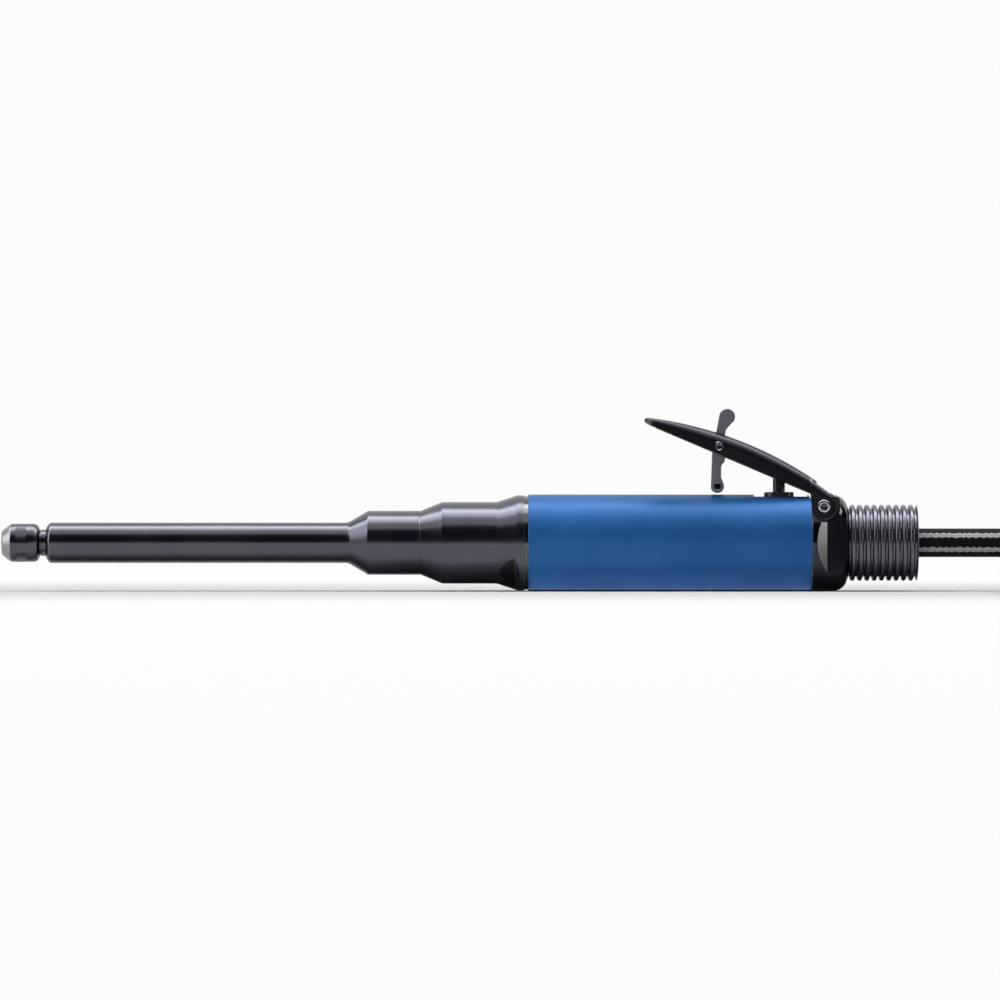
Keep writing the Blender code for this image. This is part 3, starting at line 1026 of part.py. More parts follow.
def make_tie(coat):
    """A strap round the coil's turns, half a turn from where the hose comes in."""
    centre = Vector((COIL_X, -COIL_RADIUS, 0.0))
    half_turn = 0.5 - 0.5 / LOOP_POINTS
    crossings = []
    for turn in range(int(COIL_TURNS - half_turn) + 1):
        middle = sum((coil_point(turn + half_turn + side * 0.5 / LOOP_POINTS) for side in (-1, 1)),
                     Vector()) / 2 - centre
        crossings.append(Vector((middle.xy.length, middle.z)))
    axis = axis_empty("tie_axis", None, centre)
    axis.rotation_euler = (0.0, 0.0, math.pi / 2 - 2 * math.pi * half_turn)
    inner_r = HOSE_DIAMETER / 2 + TIE_SLACK
    outer_r = inner_r + TIE_THICKNESS
    count = LOOP_POINTS
    bm = bmesh.new()
    loops = []
    for radius, side in ((inner_r, -1), (outer_r, -1), (outer_r, 1), (inner_r, 1)):
        loop = []
        for i in range(count):
            out = Vector((math.cos(2 * math.pi * i / count), math.sin(2 * math.pi * i / count)))
            spot = max(crossings, key=out.dot) + out * radius
            loop.append(bm.verts.new((spot.x, side * TIE_WIDTH / 2, spot.y)))
        loops.append(loop)
    for loop, after in zip(loops, loops[1:] + loops[:1]):
        for i in range(count):
            j = (i + 1) % count
            bm.faces.new((loop[i], loop[j], after[j], after[i]))
    solid("hose_tie", bm, coat, axis)


def main():
    clear_scene()
    dark_steel = finish("dark_steel", (0.10, 0.10, 0.12), 0.35, 0.9)
    black_oxide = finish("black_oxide", (0.03, 0.03, 0.035), 0.4, 0.8)
    bright_steel = finish("bright_steel", (0.6, 0.6, 0.62), 0.2, 1.0)
    plain_steel = finish("plain_steel", (0.4, 0.4, 0.42), 0.35, 1.0)
    latch_grey = finish("latch_grey", (0.2, 0.2, 0.22), 0.45, 0.7)
    blue_grip = finish("blue_grip", (0.04, 0.16, 0.45), 0.75, 0.0)
    brass = finish("brass", (0.7, 0.5, 0.2), 0.35, 1.0)
    black_rubber = finish("black_rubber", (0.02, 0.02, 0.022), 0.6, 0.0)
    hose_cloth = finish("hose_cloth", (0.03, 0.03, 0.035), 0.85, 0.0)
    vane_resin = finish("vane_resin", (0.25, 0.14, 0.07), 0.7, 0.0)

    tool = axis_empty("tool_axis", None, (-LENGTH / 2, 0.0, GRIP_R))
    spindle_axis = axis_empty("spindle_axis", tool)
    nut_axis = axis_empty("nut_axis", spindle_axis)
    hinge = axis_empty("lever_hinge", tool, (HINGE_STATION, 0.0, HINGE_HEIGHT))
    latch_axis = axis_empty("latch_pivot", hinge, (LATCH_PIVOT_X, 0.0, LATCH_PIVOT_HEIGHT))
    valve_axis = axis_empty("valve_axis", tool, (VALVE_STATION, 0.0, 0.0))

    make_collet_nut(nut_axis, dark_steel)
    make_collet(spindle_axis, plain_steel)
    make_spindle(spindle_axis, plain_steel)
    make_neck(tool, dark_steel, bright_steel)
    make_front_housing(tool, dark_steel)
    make_motor(tool, spindle_axis, plain_steel, plain_steel, bright_steel, vane_resin)
    make_grip(tool, bright_steel, blue_grip)
    make_valve_housing(tool, dark_steel)
    make_valve(tool, valve_axis, black_oxide, plain_steel, brass, black_rubber)
    make_inlet(tool, plain_steel, brass)
    make_exhaust_hose(tool, black_rubber)
    make_lever(hinge, black_oxide)
    make_pins(tool, hinge, bright_steel)
    make_latch(latch_axis, hinge, latch_grey, plain_steel)
    make_supply_hose(hose_cloth, plain_steel, black_rubber)


main()
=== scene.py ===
# %% [markdown]
# # A long-necked straight air grinder
# The tool is a slim spindle in a neck tube, a vane motor in a blue grip, a lever that opens the air
# valve, a corrugated exhaust hose and a striped supply hose. Its solids already exist, each at its
# real size and place. This lesson gives them their looks: finer meshes where metal shows, a finish
# for every surface, and the light of a small studio.

# %% Load the solids
import math

import bmesh
import bpy
import numpy as np
from mathutils import Matrix, Vector


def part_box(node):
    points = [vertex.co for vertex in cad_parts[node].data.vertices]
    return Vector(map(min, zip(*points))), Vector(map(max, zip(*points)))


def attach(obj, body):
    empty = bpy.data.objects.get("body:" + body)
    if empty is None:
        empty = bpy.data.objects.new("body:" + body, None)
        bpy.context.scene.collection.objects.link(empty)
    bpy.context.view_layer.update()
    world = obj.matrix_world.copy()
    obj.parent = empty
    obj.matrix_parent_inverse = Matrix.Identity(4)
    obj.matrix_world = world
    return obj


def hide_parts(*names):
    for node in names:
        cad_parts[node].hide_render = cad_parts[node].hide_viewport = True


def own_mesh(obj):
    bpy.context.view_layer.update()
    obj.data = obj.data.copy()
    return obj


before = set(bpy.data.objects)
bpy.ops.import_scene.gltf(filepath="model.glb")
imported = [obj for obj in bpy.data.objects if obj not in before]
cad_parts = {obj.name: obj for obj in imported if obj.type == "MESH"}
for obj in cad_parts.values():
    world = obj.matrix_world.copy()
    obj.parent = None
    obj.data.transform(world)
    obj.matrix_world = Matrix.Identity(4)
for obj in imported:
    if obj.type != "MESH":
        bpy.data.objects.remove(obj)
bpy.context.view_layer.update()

# %% [markdown]
# ## Where things are
# Every length along the tool is a station: a distance from the front face of the collet nut, as a
# turner would measure it. The axis runs along X, half a grip above the floor. Both are read from the
# solids, so a finer mesh lands exactly on the piece that it stands for.

# %% The tool's axis and stations
NOSE_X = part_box("collet_nut")[0].x
TAIL_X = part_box("exhaust_hose")[1].x
AXIS_Z = (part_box("neck_tube")[0].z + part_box("neck_tube")[1].z) / 2
ON_AXIS = Matrix.Translation((NOSE_X, 0.0, AXIS_Z))
SEAT_GAP = 0.0003            # between two solids that seat on each other
SEAM = 0.00002               # what is left of it where a seam shows


def ends(node):
    """The stations where a solid starts and ends."""
    return [corner.x - NOSE_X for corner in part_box(node)]


def half_across(node):
    low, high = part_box(node)
    return (high.y - low.y) / 2


GRIP_R = half_across("grip_sleeve")
print(f"tool length {TAIL_X - NOSE_X:.4f} m, axis {AXIS_Z:.5f} m above the floor")

# %% [markdown]
# ## The camera
# The picture is a level side view from far away: round shoulders show almost no ellipse. The tool
# fills the picture from edge to edge and sits a little below its middle, so the lens is level and
# stands higher than the tool's axis, and is not tilted.

# %% Set up the camera
PICTURE_WIDTH = 0.420        # metres across the picture, at the tool's axis
PICTURE_MIDDLE = NOSE_X + 0.2092
LENS_HEIGHT = 0.01796        # above the tool's axis
LENS_DISTANCE = 2.6

lens = bpy.data.cameras.new("side_view")
lens.sensor_width = 36.0
lens.lens = lens.sensor_width * LENS_DISTANCE / PICTURE_WIDTH
lens.clip_end = 50.0
camera = bpy.data.objects.new("side_view", lens)
camera.location = (PICTURE_MIDDLE, -LENS_DISTANCE, AXIS_Z + LENS_HEIGHT)
camera.rotation_euler = (math.pi / 2, 0.0, 0.0)
bpy.context.scene.collection.objects.link(camera)
bpy.context.scene.camera = camera
print(f"lens {lens.lens:.1f} mm at {LENS_DISTANCE} m")

# %% [markdown]
# ## The supply hose's route
# Air comes in through a hose 12 mm across. It leaves the tool straight, drops to the floor within a
# hand's width, and the rest of its length lies in a tied coil beyond the picture's right edge. The
# coil spirals in for some turns, climbs one layer, and spirals out again on top. A loop works out
# its points, while the short way down to the floor is a smooth curve through a few chosen points.

# %% Work out the hose's middle line
HOSE_DIAMETER = 0.0120
HOSE_LEVEL = 0.0340          # how far it stays level behind the exhaust hose
COIL_X = 0.3010
COIL_RADIUS = 0.0780
COIL_PITCH = 0.0128
COIL_REVERSAL = 1.8          # turns before the spiral goes outwards again
COIL_TURNS = 79 / 24
COIL_HEIGHT = 0.0074
LAYER_RISE = 0.0133
TURN_POINTS = 96


def coil_point(turn):
    inwards = turn if turn < COIL_REVERSAL else 2 * COIL_REVERSAL - turn
    radius = COIL_RADIUS - COIL_PITCH * inwards
    climb = min(max(2 * (turn - COIL_REVERSAL) + 0.5, 0.0), 1.0)
    angle = math.pi / 2 - 2 * math.pi * turn
    return Vector((COIL_X + radius * math.cos(angle), radius * math.sin(angle) - COIL_RADIUS,
                   COIL_HEIGHT + LAYER_RISE * climb * climb * (3 - 2 * climb)))


def coil_way(turn):
    step = 0.002
    way = coil_point(turn + step) - coil_point(turn - step)
    way.z = 0.0
    return way.normalized()


def curve_through(route, start_way, end_way, steps):
    """A smooth curve through the route's points, with a set direction at each end."""
    ways = [(after - before) / 2 for before, after in zip(route, route[2:])]
    ways = [start_way * (route[1] - route[0]).length, *ways, end_way * (route[-1] - route[-2]).length]
    curve = []
    for i in range(len(route) - 1):
        for t in (step / steps for step in range(steps)):
            curve.append(route[i] * (2 * t ** 3 - 3 * t ** 2 + 1) + ways[i] * (t ** 3 - 2 * t ** 2 + t)
                         + route[i + 1] * (3 * t ** 2 - 2 * t ** 3) + ways[i + 1] * (t ** 3 - t ** 2))
    return curve + [route[-1]]


def path_length(points):
    return sum((after - before).length for before, after in zip(points, points[1:]))


hose_start = Vector((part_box("supply_hose_lead")[0].x, 0.0, AXIS_Z))
turns = [coil_point(i / TURN_POINTS) for i in range(round(COIL_TURNS * TURN_POINTS) + 1)]
coil_in = turns[0] - coil_way(0.0) * HOSE_DIAMETER
coil_end = turns[-1] + coil_way(COIL_TURNS) * HOSE_DIAMETER
droop = Vector((TAIL_X + HOSE_LEVEL, 0.0, AXIS_Z))
landing = coil_in - coil_way(0.0) * HOSE_DIAMETER
route = [droop, (droop + landing) / 2, landing]
way_down = curve_through(route, Vector((1.0, 0.0, 0.0)), coil_way(0.0), 14)
straight = [hose_start.lerp(way_down[0], share) for share in np.linspace(0.0, 1.0, 12, endpoint=False)]
hose_path = [*straight, *way_down, coil_in, *turns, coil_end]
hose_length = path_length(hose_path)
print(f"hose length {hose_length:.3f} m in {len(hose_path)} points")

# %% [markdown]
# ## Tubes along a path
# A curve with a bevel would make the hose, but its UV map would not follow real lengths. This
# small function sweeps a circle along the points instead, carrying its frame along without twist.
# The UV map then holds metres along the hose and turns round it, so woven stripes keep their width.
# The helpers of the first cell, which join rings of points and make an object, serve later pieces too.

# %% Join rings of points into pieces
CRISP_ANGLE = math.radians(35.0)         # edges past this angle stay crisp


def turn_angles(sides):
    return [2 * math.pi * i / sides for i in range(sides)]


def bridge(bm, ring, after):
    """Join two closed rings of points with faces. A ring of one point is a pole."""
    faces = []
    for i in range(max(len(ring), len(after))):
        corners = [ring[i % len(ring)], ring[(i + 1) % len(ring)],
                   after[(i + 1) % len(after)], after[i % len(after)]]
        faces.append(bm.faces.new(list(dict.fromkeys(corners))))
    return faces


def shade(mesh):
    mesh.shade_smooth()
    mesh.set_sharp_from_angle(angle=CRISP_ANGLE)


def as_piece(name, bm):
    """Turn a bmesh into a smooth shaded object with crisp edges."""
    bmesh.ops.recalc_face_normals(bm, faces=bm.faces)
    mesh = bpy.data.meshes.new(name)
    bm.to_mesh(mesh)
    bm.free()
    shade(mesh)
    piece = bpy.data.objects.new(name, mesh)
    bpy.context.scene.collection.objects.link(piece)
    return piece


print(f"edges stay crisp past {math.degrees(CRISP_ANGLE):.0f} degrees")

# %% Sweep the supply hose


def swept_frames(points):
    """Each point with two side directions, the first one upwards, carried along without twist."""
    frames = []
    side = Vector((0.0, 0.0, 1.0))
    for i, point in enumerate(points):
        way = (points[min(i + 1, len(points) - 1)] - points[max(i - 1, 0)]).normalized()
        side = (side - way * side.dot(way)).normalized()
        frames.append((point, side, way.cross(side)))
    return frames


def swept_tube(name, points, radius, sides):
    """A closed round tube along points, with a UV map in metres along it and turns round it."""
    bm = bmesh.new()
    uv_map = bm.loops.layers.uv.new("along_round")
    rings, reach = [], [0.0]
    for before, after in zip(points, points[1:]):
        reach.append(reach[-1] + (after - before).length)
    for point, side, across in swept_frames(points):
        rings.append([bm.verts.new(point + (side * math.cos(a) + across * math.sin(a)) * radius)
                      for a in turn_angles(sides)])
    for k, (ring, after) in enumerate(zip(rings, rings[1:])):
        for i, face in enumerate(bridge(bm, ring, after)):
            corners = ((k, i), (k, i + 1), (k + 1, i + 1), (k + 1, i))
            for loop, (row, column) in zip(face.loops, corners):
                loop[uv_map].uv = (reach[row], column / sides)
    bm.faces.new(rings[0])
    bm.faces.new(rings[-1])
    return as_piece(name, bm)


hose = swept_tube("supply_hose", hose_path, HOSE_DIAMETER / 2, 40)
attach(hose, "tool_body")
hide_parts("supply_hose_lead", "supply_hose_coil")
print("supply hose faces:", len(hose.data.polygons))

# %% [markdown]
# ## Shader arithmetic
# A finish is a small sum: this much scratch, minus that much grease. Written with nodes it grows
# long, so one class wraps a socket and lets Python's own signs build the Math nodes. Its node()
# method adds every other kind of node: settings first, then the values or links of its sockets.

# %% A socket that can do sums


class Flow:
    """A socket of a material, ready for arithmetic."""

    def __init__(self, tree, socket=None):
        self.tree = tree
        self.socket = socket

    def feed(self, socket, value):
        if isinstance(value, Flow):
            self.tree.links.new(value.socket, socket)
        else:
            socket.default_value = value

    def node(self, kind, settings=None, inputs=None, output=0):
        made = self.tree.nodes.new(kind)
        for name, value in (settings or {}).items():
            setattr(made, name, value)
        for key, value in (inputs or {}).items():
            self.feed(made.inputs[key], value)
        return Flow(self.tree, made.outputs[output] if made.outputs else None)

    def sum(self, operation, *terms):
        return self.node("ShaderNodeMath", {"operation": operation}, dict(enumerate(terms)))

    def __add__(self, other):
        return self.sum("ADD", self, other)

    def __radd__(self, other):
        return self.sum("ADD", other, self)

    def __sub__(self, other):
        return self.sum("SUBTRACT", self, other)

    def __rsub__(self, other):
        return self.sum("SUBTRACT", other, self)

    def __mul__(self, other):
        return self.sum("MULTIPLY", self, other)

    def __rmul__(self, other):
        return self.sum("MULTIPLY", other, self)

    def ramp(self, low, high):
        """0 below low, 1 above high, smooth between."""
        limits = {"Value": self, "From Min": low, "From Max": high}
        return self.node("ShaderNodeMapRange", {"interpolation_type": "SMOOTHSTEP"}, limits)

    def mix(self, colour, other):
        """One colour where this is 0, the other where it is 1."""
        return self.node("ShaderNodeMix", {"data_type": "RGBA"}, {0: self, 6: colour, 7: other}, 2)

    def part(self, axis):
        return self.node("ShaderNodeSeparateXYZ", None, {0: self}, axis)

    def noise(self, scale, detail=2.0, stretch=(1.0, 1.0, 1.0)):
        """Noise with this many features a metre, stretched along the piece's axes."""
        spot = self.node("ShaderNodeMapping", None, {"Vector": self, "Scale": stretch})
        return self.node("ShaderNodeTexNoise", None, {"Vector": spot, "Scale": scale, "Detail": detail})


print("shader sums ready")

# %% [markdown]
# ## A finish and its edges
# Each finish starts from the same bench: a Principled shader, the piece's own Object coordinates,
# and an edge value. The edge value is stored on the mesh: it is high along rounded outward corners,
# where handling rubs a dark coat through to bare steel, and 0 elsewhere.

# %% Start a finish


def grey(level, tint=0.0):
    """A colour near grey: tint above 0 is bluer, below 0 is warmer."""
    return (level * (1 - tint / 5), level, level * (1 + 2 * tint), 1.0)


class Finish:
    """A material in the making: constants first, then what varies over the surface."""

    def __init__(self, name, colour, constants):
        self.material = bpy.data.materials.new(name)
        self.material.use_nodes = True
        tree = self.material.node_tree
        self.shader = tree.nodes["Principled BSDF"]
        self.shader.inputs["Base Color"].default_value = colour
        for socket, value in constants.items():
            self.shader.inputs[socket].default_value = value
        self.flow = Flow(tree)
        self.place = self.flow.node("ShaderNodeTexCoord", output="Object")
        self.edge = self.flow.node("ShaderNodeAttribute", {"attribute_name": "edge"}, output="Fac")

    def vary(self, socket, value):
        self.flow.feed(self.shader.inputs[socket], value)

    def bump(self, height, depth, strength):
        sizes = {"Height": height, "Distance": depth, "Strength": strength}
        self.vary("Normal", self.flow.node("ShaderNodeBump", None, sizes))


print("a grey of 0.5, a little blue:", grey(0.5, 0.1))

# %% Mark the corners that wear
FINE_FACE = 0.004            # metres round a face that belongs to a rounded corner
WORN_FROM, WORN_FULL = 8.0, 26.0         # degrees that a corner turns at a point


def mark_edges(piece):
    """Store on each point of a rounded outward corner how sharp it is, from 0 to 1."""
    bm = bmesh.new()
    bm.from_mesh(piece.data)
    values = []
    for vert in bm.verts:
        turn = max((edge.calc_face_angle_signed(0.0) for edge in vert.link_edges), default=0.0)
        worn = (math.degrees(turn) - WORN_FROM) / (WORN_FULL - WORN_FROM)
        on_corner = all(face.calc_perimeter() < FINE_FACE for face in vert.link_faces)
        values.append(on_corner * min(max(worn, 0.0), 1.0))
    bm.free()
    stored = piece.data.attributes.new("edge", "FLOAT", "POINT")
    stored.data.foreach_set("value", values)


print(f"corners wear from {WORN_FROM:.0f} degrees, fully at {WORN_FULL:.0f}")

# %% [markdown]
# ## Dark steel
# Neck, housings and nut are turned from steel, blackened in a hot bath and oiled. The coat is thin,
# so the metal still shines through it as a dark mirror, a little blue. A lathe leaves rings finer
# than a hair: noise stretched flat across Y and Z gives rings along X. Oil and fingers leave faint
# clouds in the roughness, and the corners are rubbed to a lighter steel.

# %% Finishes for the steel


def blackened_steel(name, level, roughness):
    finish = Finish(name, grey(level, 0.10), {"Metallic": 1.0})
    rings = finish.place.noise(5200.0, 3.0, (1.0, 0.004, 0.004))
    clouds = finish.place.noise(55.0, 4.0)
    rubbed = finish.edge * (0.25 + 0.75 * finish.place.noise(420.0, 3.0).ramp(0.35, 0.65))
    coat = (clouds * 0.7 + rings * 0.3).mix(grey(level * 0.82, 0.14), grey(level * 1.18, 0.08))
    finish.vary("Base Color", (rubbed * 0.5).mix(coat, grey(0.45, 0.02)))
    finish.vary("Roughness", roughness - 0.05 + clouds * 0.12 + (rings - 0.5) * 0.08)
    finish.bump(rings, 0.000003, 0.3)
    return finish.material


def bare_steel(name, level, roughness, grain=4000.0):
    """Machined steel without a coat: ring marks and a fine sparkle."""
    finish = Finish(name, grey(level, 0.01), {"Metallic": 1.0})
    rings = finish.place.noise(grain, 2.0, (1.0, 0.01, 0.01))
    sparkle = finish.place.noise(grain * 0.6, 4.0)
    finish.vary("Base Color", sparkle.mix(grey(level * 0.85, 0.02), grey(level * 1.12, 0.0)))
    finish.vary("Roughness", roughness + (rings - 0.5) * 0.16 + (sparkle - 0.5) * 0.1)
    finish.bump(rings, 0.000004, 0.6)
    return finish.material


NECK_STEEL = blackened_steel("neck_steel", 0.110, 0.22)
COLLAR_STEEL = blackened_steel("collar_steel", 0.050, 0.12)
SPINDLE_STEEL = bare_steel("spindle_steel", 0.36, 0.30)
PIN_STEEL = bare_steel("pin_steel", 0.62, 0.24)
NOSE_STEEL = bare_steel("nose_steel", 0.36, 0.38, 2600.0)
MILLED_STEEL_AND_PAINTED_HIGHLIGHT = bare_steel("milled_steel", 0.24, 0.36)
RING_STEEL = bare_steel("ring_steel", 0.13, 0.14)
steels = (NECK_STEEL, COLLAR_STEEL, SPINDLE_STEEL, PIN_STEEL, NOSE_STEEL, MILLED_STEEL_AND_PAINTED_HIGHLIGHT, RING_STEEL)
print("steels:", [steel.name for steel in steels])

# %% [markdown]
# ## Turning on a lathe
# Most pieces here come off a lathe, so most meshes are an outline turned round an axis. The outline
# is a list of (station, radius) points. A third number rounds that corner, as a turner breaks an
# edge. A point on the axis closes to a pole, and an outline that stays off the axis closes on
# itself and gives a tube.

# %% Turn an outline, extrude a side view
SIDES = 128


def softened(outline, steps=4):
    """Round each corner that carries a third number, the length taken off both of its sides."""
    points = []
    for i, corner in enumerate(outline):
        spot = Vector(corner[:2])
        if len(corner) < 3:
            points.append(spot)
            continue
        before = Vector(outline[i - 1][:2])
        after = Vector(outline[(i + 1) % len(outline)][:2])
        start = spot + (before - spot).normalized() * corner[2]
        end = spot + (after - spot).normalized() * corner[2]
        for t in (step / steps for step in range(steps + 1)):
            points.append(start * (1 - t) ** 2 + spot * 2 * t * (1 - t) + end * t ** 2)
    return points


def turned(name, outline, place=ON_AXIS, sides=SIDES):
    """Turn an outline of (along, radius) points round the X axis of a place."""
    bm = bmesh.new()
    rings = []
    for along, radius in softened(outline):
        around = turn_angles(sides if radius > 0.0 else 1)
        spots = [Vector((along, radius * math.cos(a), radius * math.sin(a))) for a in around]
        rings.append([bm.verts.new(place @ spot) for spot in spots])
    if len(rings[0]) > 1 and len(rings[-1]) > 1:
        rings.append(rings[0])
    for ring, after in zip(rings, rings[1:]):
        bridge(bm, ring, after)
    return as_piece(name, bm)


def prism(name, outline, low, high, place=ON_AXIS):
    """Extrude a side view, (x, z) points, across Y from low to high."""
    bm = bmesh.new()
    loops = [[bm.verts.new(place @ Vector((x, y, z))) for x, z in outline] for y in (low, high)]
    bridge(bm, *loops)
    for loop in loops:
        bm.faces.new(loop)
    return as_piece(name, bm)


def oblong(start, end, low, high):
    """The side view of a box."""
    return [(start, low), (end, low), (end, high), (start, high)]


print(f"lathe ready, {SIDES} sides to a turn")

# %% [markdown]
# ## Milling and dressing
# A milled flat or a drilled hole is a real cut here. A Boolean modifier takes the tool's shape away,
# and the result is turned into plain mesh at once. Painting a flat on would be quicker, but light
# would give it away. Dressing a piece means its finish, the body that it moves with, and the solids
# that it stands for. Faces that pass a test, such as a ground cone, can get a second finish.

# %% Cut, dress and refinish


def settle(piece):
    """Turn a piece's modifiers into plain mesh."""
    evaluated = piece.evaluated_get(bpy.context.evaluated_depsgraph_get())
    mesh = bpy.data.meshes.new_from_object(evaluated)
    piece.modifiers.clear()
    old, piece.data = piece.data, mesh
    mesh.name = piece.name
    bpy.data.meshes.remove(old)
    shade(mesh)


def machine(piece, *tools, operation="DIFFERENCE"):
    """Cut a piece with tools, or join them to it. The tools are used up."""
    for tool in tools:
        cut = piece.modifiers.new(tool.name, "BOOLEAN")
        cut.operation = operation
        cut.solver = "EXACT"
        cut.object = tool
    settle(piece)
    for tool in tools:
        bpy.data.meshes.remove(tool.data)


def drilled(start, end, radius, place, sides=48):
    """A round tool along the X axis of a place."""
    return turned("drill", [(start, 0.0), (start, radius), (end, radius), (end, 0.0)], place, sides)


def about_axis(degrees):
    """The tool's axis, turned about itself."""
    return ON_AXIS @ Matrix.Rotation(math.radians(degrees), 4, "X")


def dress(piece, body, finish, slot, *nodes):
    """Give a piece its finish, its body and the solids that it stands for."""
    mark_edges(piece)
    piece.data.materials.clear()
    piece.data.materials.append(finish)
    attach(piece, body)
    if nodes:
        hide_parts(*nodes)
    print(f"{piece.name}: {len(piece.data.polygons)} faces on {body}")


def refinish(piece, finish, chosen):
    """Give a second finish to the faces that pass a test."""
    piece.data.materials.append(finish)
    for face in piece.data.polygons:
        face.material_index = int(chosen(face))
    print(f"{piece.name}: {sum(face.material_index for face in piece.data.polygons)} in {finish.name}")


print("workshop ready")

# %% [markdown]
# ## Collet nut
# The nut closes the collet on the cutter's shank. Its nose is a ground cone, left bright, with a
# rounded rim. Four spanner flats are milled in a band behind it, and its tail tapers down to the
# spindle. The flats are cut with boxes, turned until they face the viewer as in the picture.

# %% Make the collet nut
NUT_R = 0.0080
NUT_LENGTH = 0.0161
NUT_MOUTH_R = 0.0037
NUT_BORE_R = 0.0051
NUT_CONE_END = 0.0039
nut = turned("nut", [
    (0.0, NUT_MOUTH_R), (0.0, 0.0050, 0.0008), (NUT_CONE_END, NUT_R, 0.0006), (0.0139, NUT_R, 0.0002),
    (0.0141, NUT_R - 0.00016), (0.0143, NUT_R - 0.0001, 0.0002),
    (NUT_LENGTH - 0.00095, NUT_R - 0.0006, 0.0003), (NUT_LENGTH, 0.0057, 0.0003),
    (NUT_LENGTH, NUT_BORE_R), (0.0028, NUT_BORE_R), (0.0012, NUT_MOUTH_R)])
NUT_FLATS = 4
NUT_FLATS_TURN = 60.0        # degrees from facing up
FLAT_HALF_ACROSS = 0.0070
FLAT_FROM, FLAT_TO = 0.0062, 0.0105
MILL_REACH = 0.02            # the size of a milling tool, larger than what it cuts
for index in range(NUT_FLATS):
    side = oblong(FLAT_FROM, FLAT_TO, FLAT_HALF_ACROSS, MILL_REACH)
    facing = about_axis(NUT_FLATS_TURN + 360.0 / NUT_FLATS * index)
    machine(nut, prism("flat", side, -NUT_R, NUT_R, facing))
dress(nut, "collet_nut", NECK_STEEL, "dark_steel", "collet_nut")


def on_cone(face):
    return face.center.x - NOSE_X < NUT_CONE_END and face.normal.x < -0.3


refinish(nut, NOSE_STEEL, on_cone)

# %% [markdown]
# ## Neck tube and barrel
# A plain tube holds the spindle far out in front of the motor, and swells to a barrel for the tail
# bearing. Its front rim is chamfered and catches the light as a thin bright line.

# %% Make the neck tube
TUBE_R = 0.0085
TUBE_BORE_R = 0.0068
TUBE_MOUTH_R = 0.0059
TUBE_LIP = 0.0018            # length of the narrow mouth, in front of the first bearing
BARREL_R = half_across("neck_tube")
BARREL_BORE_R = 0.0098
TUBE_FRONT, BARREL_REAR = ends("neck_tube")
TUBE_REAR = TUBE_FRONT + 0.1267
BARREL_FRONT = TUBE_REAR + 0.0084
BEARING_FRONT = TUBE_FRONT + TUBE_LIP
BEARING_SEAT = BARREL_FRONT + 0.0012
neck = turned("neck", [
    (TUBE_FRONT, TUBE_MOUTH_R), (TUBE_FRONT, 0.0066, 0.0003), (TUBE_FRONT + 0.0015, TUBE_R, 0.0008),
    (TUBE_REAR, TUBE_R, 0.0012), (BARREL_FRONT, BARREL_R, 0.0003), (BARREL_REAR, BARREL_R, 0.0003),
    (BARREL_REAR, BARREL_BORE_R), (BEARING_SEAT, BARREL_BORE_R), (BEARING_SEAT, TUBE_BORE_R),
    (BEARING_FRONT, TUBE_BORE_R), (BEARING_FRONT, TUBE_MOUTH_R)])
dress(neck, "tool_body", NECK_STEEL, "dark_steel", "neck_tube")

# %% [markdown]
# ## Front housing
# The housing screws onto the barrel and flares up to the grip's width. Two spanner flats are milled
# across it, half turned away from the viewer, and each ends in a slope where the mill came out. The
# cut through the flare gives the curved edge that the picture shows, so it is a real cut here too.

# %% Make the front housing
SPIGOT_FRONT, HOUSING_REAR = ends("front_housing")
HOUSING_FRONT = HOUSING_REAR - 0.0435
HOUSING_R = 0.01715
SPIGOT_R = 0.0095
SHAFT_HOLE_R = 0.0060
SHAFT_HOLE_END = HOUSING_FRONT + 0.0060
CHAMBER_R = 0.0120
MOTOR_SEAT_R = 0.0158
MOTOR_SEAT = HOUSING_REAR - 0.0084
RIM_R = GRIP_R - 0.0003
FLARE_FRONT = HOUSING_FRONT + 0.0319
FLARE_REAR = HOUSING_REAR - 0.0030
housing = turned("front_shell", [
    (SPIGOT_FRONT, SHAFT_HOLE_R), (SPIGOT_FRONT, SPIGOT_R), (BARREL_REAR + SEAM, SPIGOT_R),
    (BARREL_REAR + SEAM, BARREL_R, 0.0001), (HOUSING_FRONT, BARREL_R),
    (HOUSING_FRONT + 0.0090, HOUSING_R, 0.0003), (FLARE_FRONT, HOUSING_R, 0.0004),
    (FLARE_REAR, RIM_R, 0.0003), (HOUSING_REAR, RIM_R, 0.0002), (HOUSING_REAR, MOTOR_SEAT_R),
    (MOTOR_SEAT, MOTOR_SEAT_R), (MOTOR_SEAT, CHAMBER_R), (SHAFT_HOLE_END, CHAMBER_R),
    (SHAFT_HOLE_END, SHAFT_HOLE_R)])
FRONT_FLAT = 0.0175          # from the axis to a flat
FRONT_FLATS_TURN = 135.0     # degrees from facing up
MILL_START = FLARE_FRONT - 0.0115
MILL_STOP = HOUSING_REAR - 0.0044
RUN_OUT = 0.01               # rise and length of the slope where a mill comes out
flat_side = [(MILL_START, FRONT_FLAT), (MILL_STOP, FRONT_FLAT),
             (MILL_STOP + RUN_OUT, FRONT_FLAT + RUN_OUT), (MILL_START, FRONT_FLAT + RUN_OUT)]
for turn in (FRONT_FLATS_TURN, FRONT_FLATS_TURN - 180.0):
    machine(housing, prism("flat", flat_side, -GRIP_R, GRIP_R, about_axis(turn)))
dress(housing, "tool_body", NECK_STEEL, "dark_steel", "front_housing")


def front_flat_with_painted_shade(face):
    height = (about_axis(FRONT_FLATS_TURN).inverted() @ face.center).z
    return abs(abs(height) - FRONT_FLAT) < 0.00001


# The milled flats get the darker collar steel: a painted shade for the dark below that they mirror.
refinish(housing, COLLAR_STEEL, front_flat_with_painted_shade)

# %% [markdown]
# ## Spacer ring
# A thin polished ring closes the seam between the dark housing and the blue grip. It is a little
# smaller than both, so it shows as a fine dark groove with a glint in it.

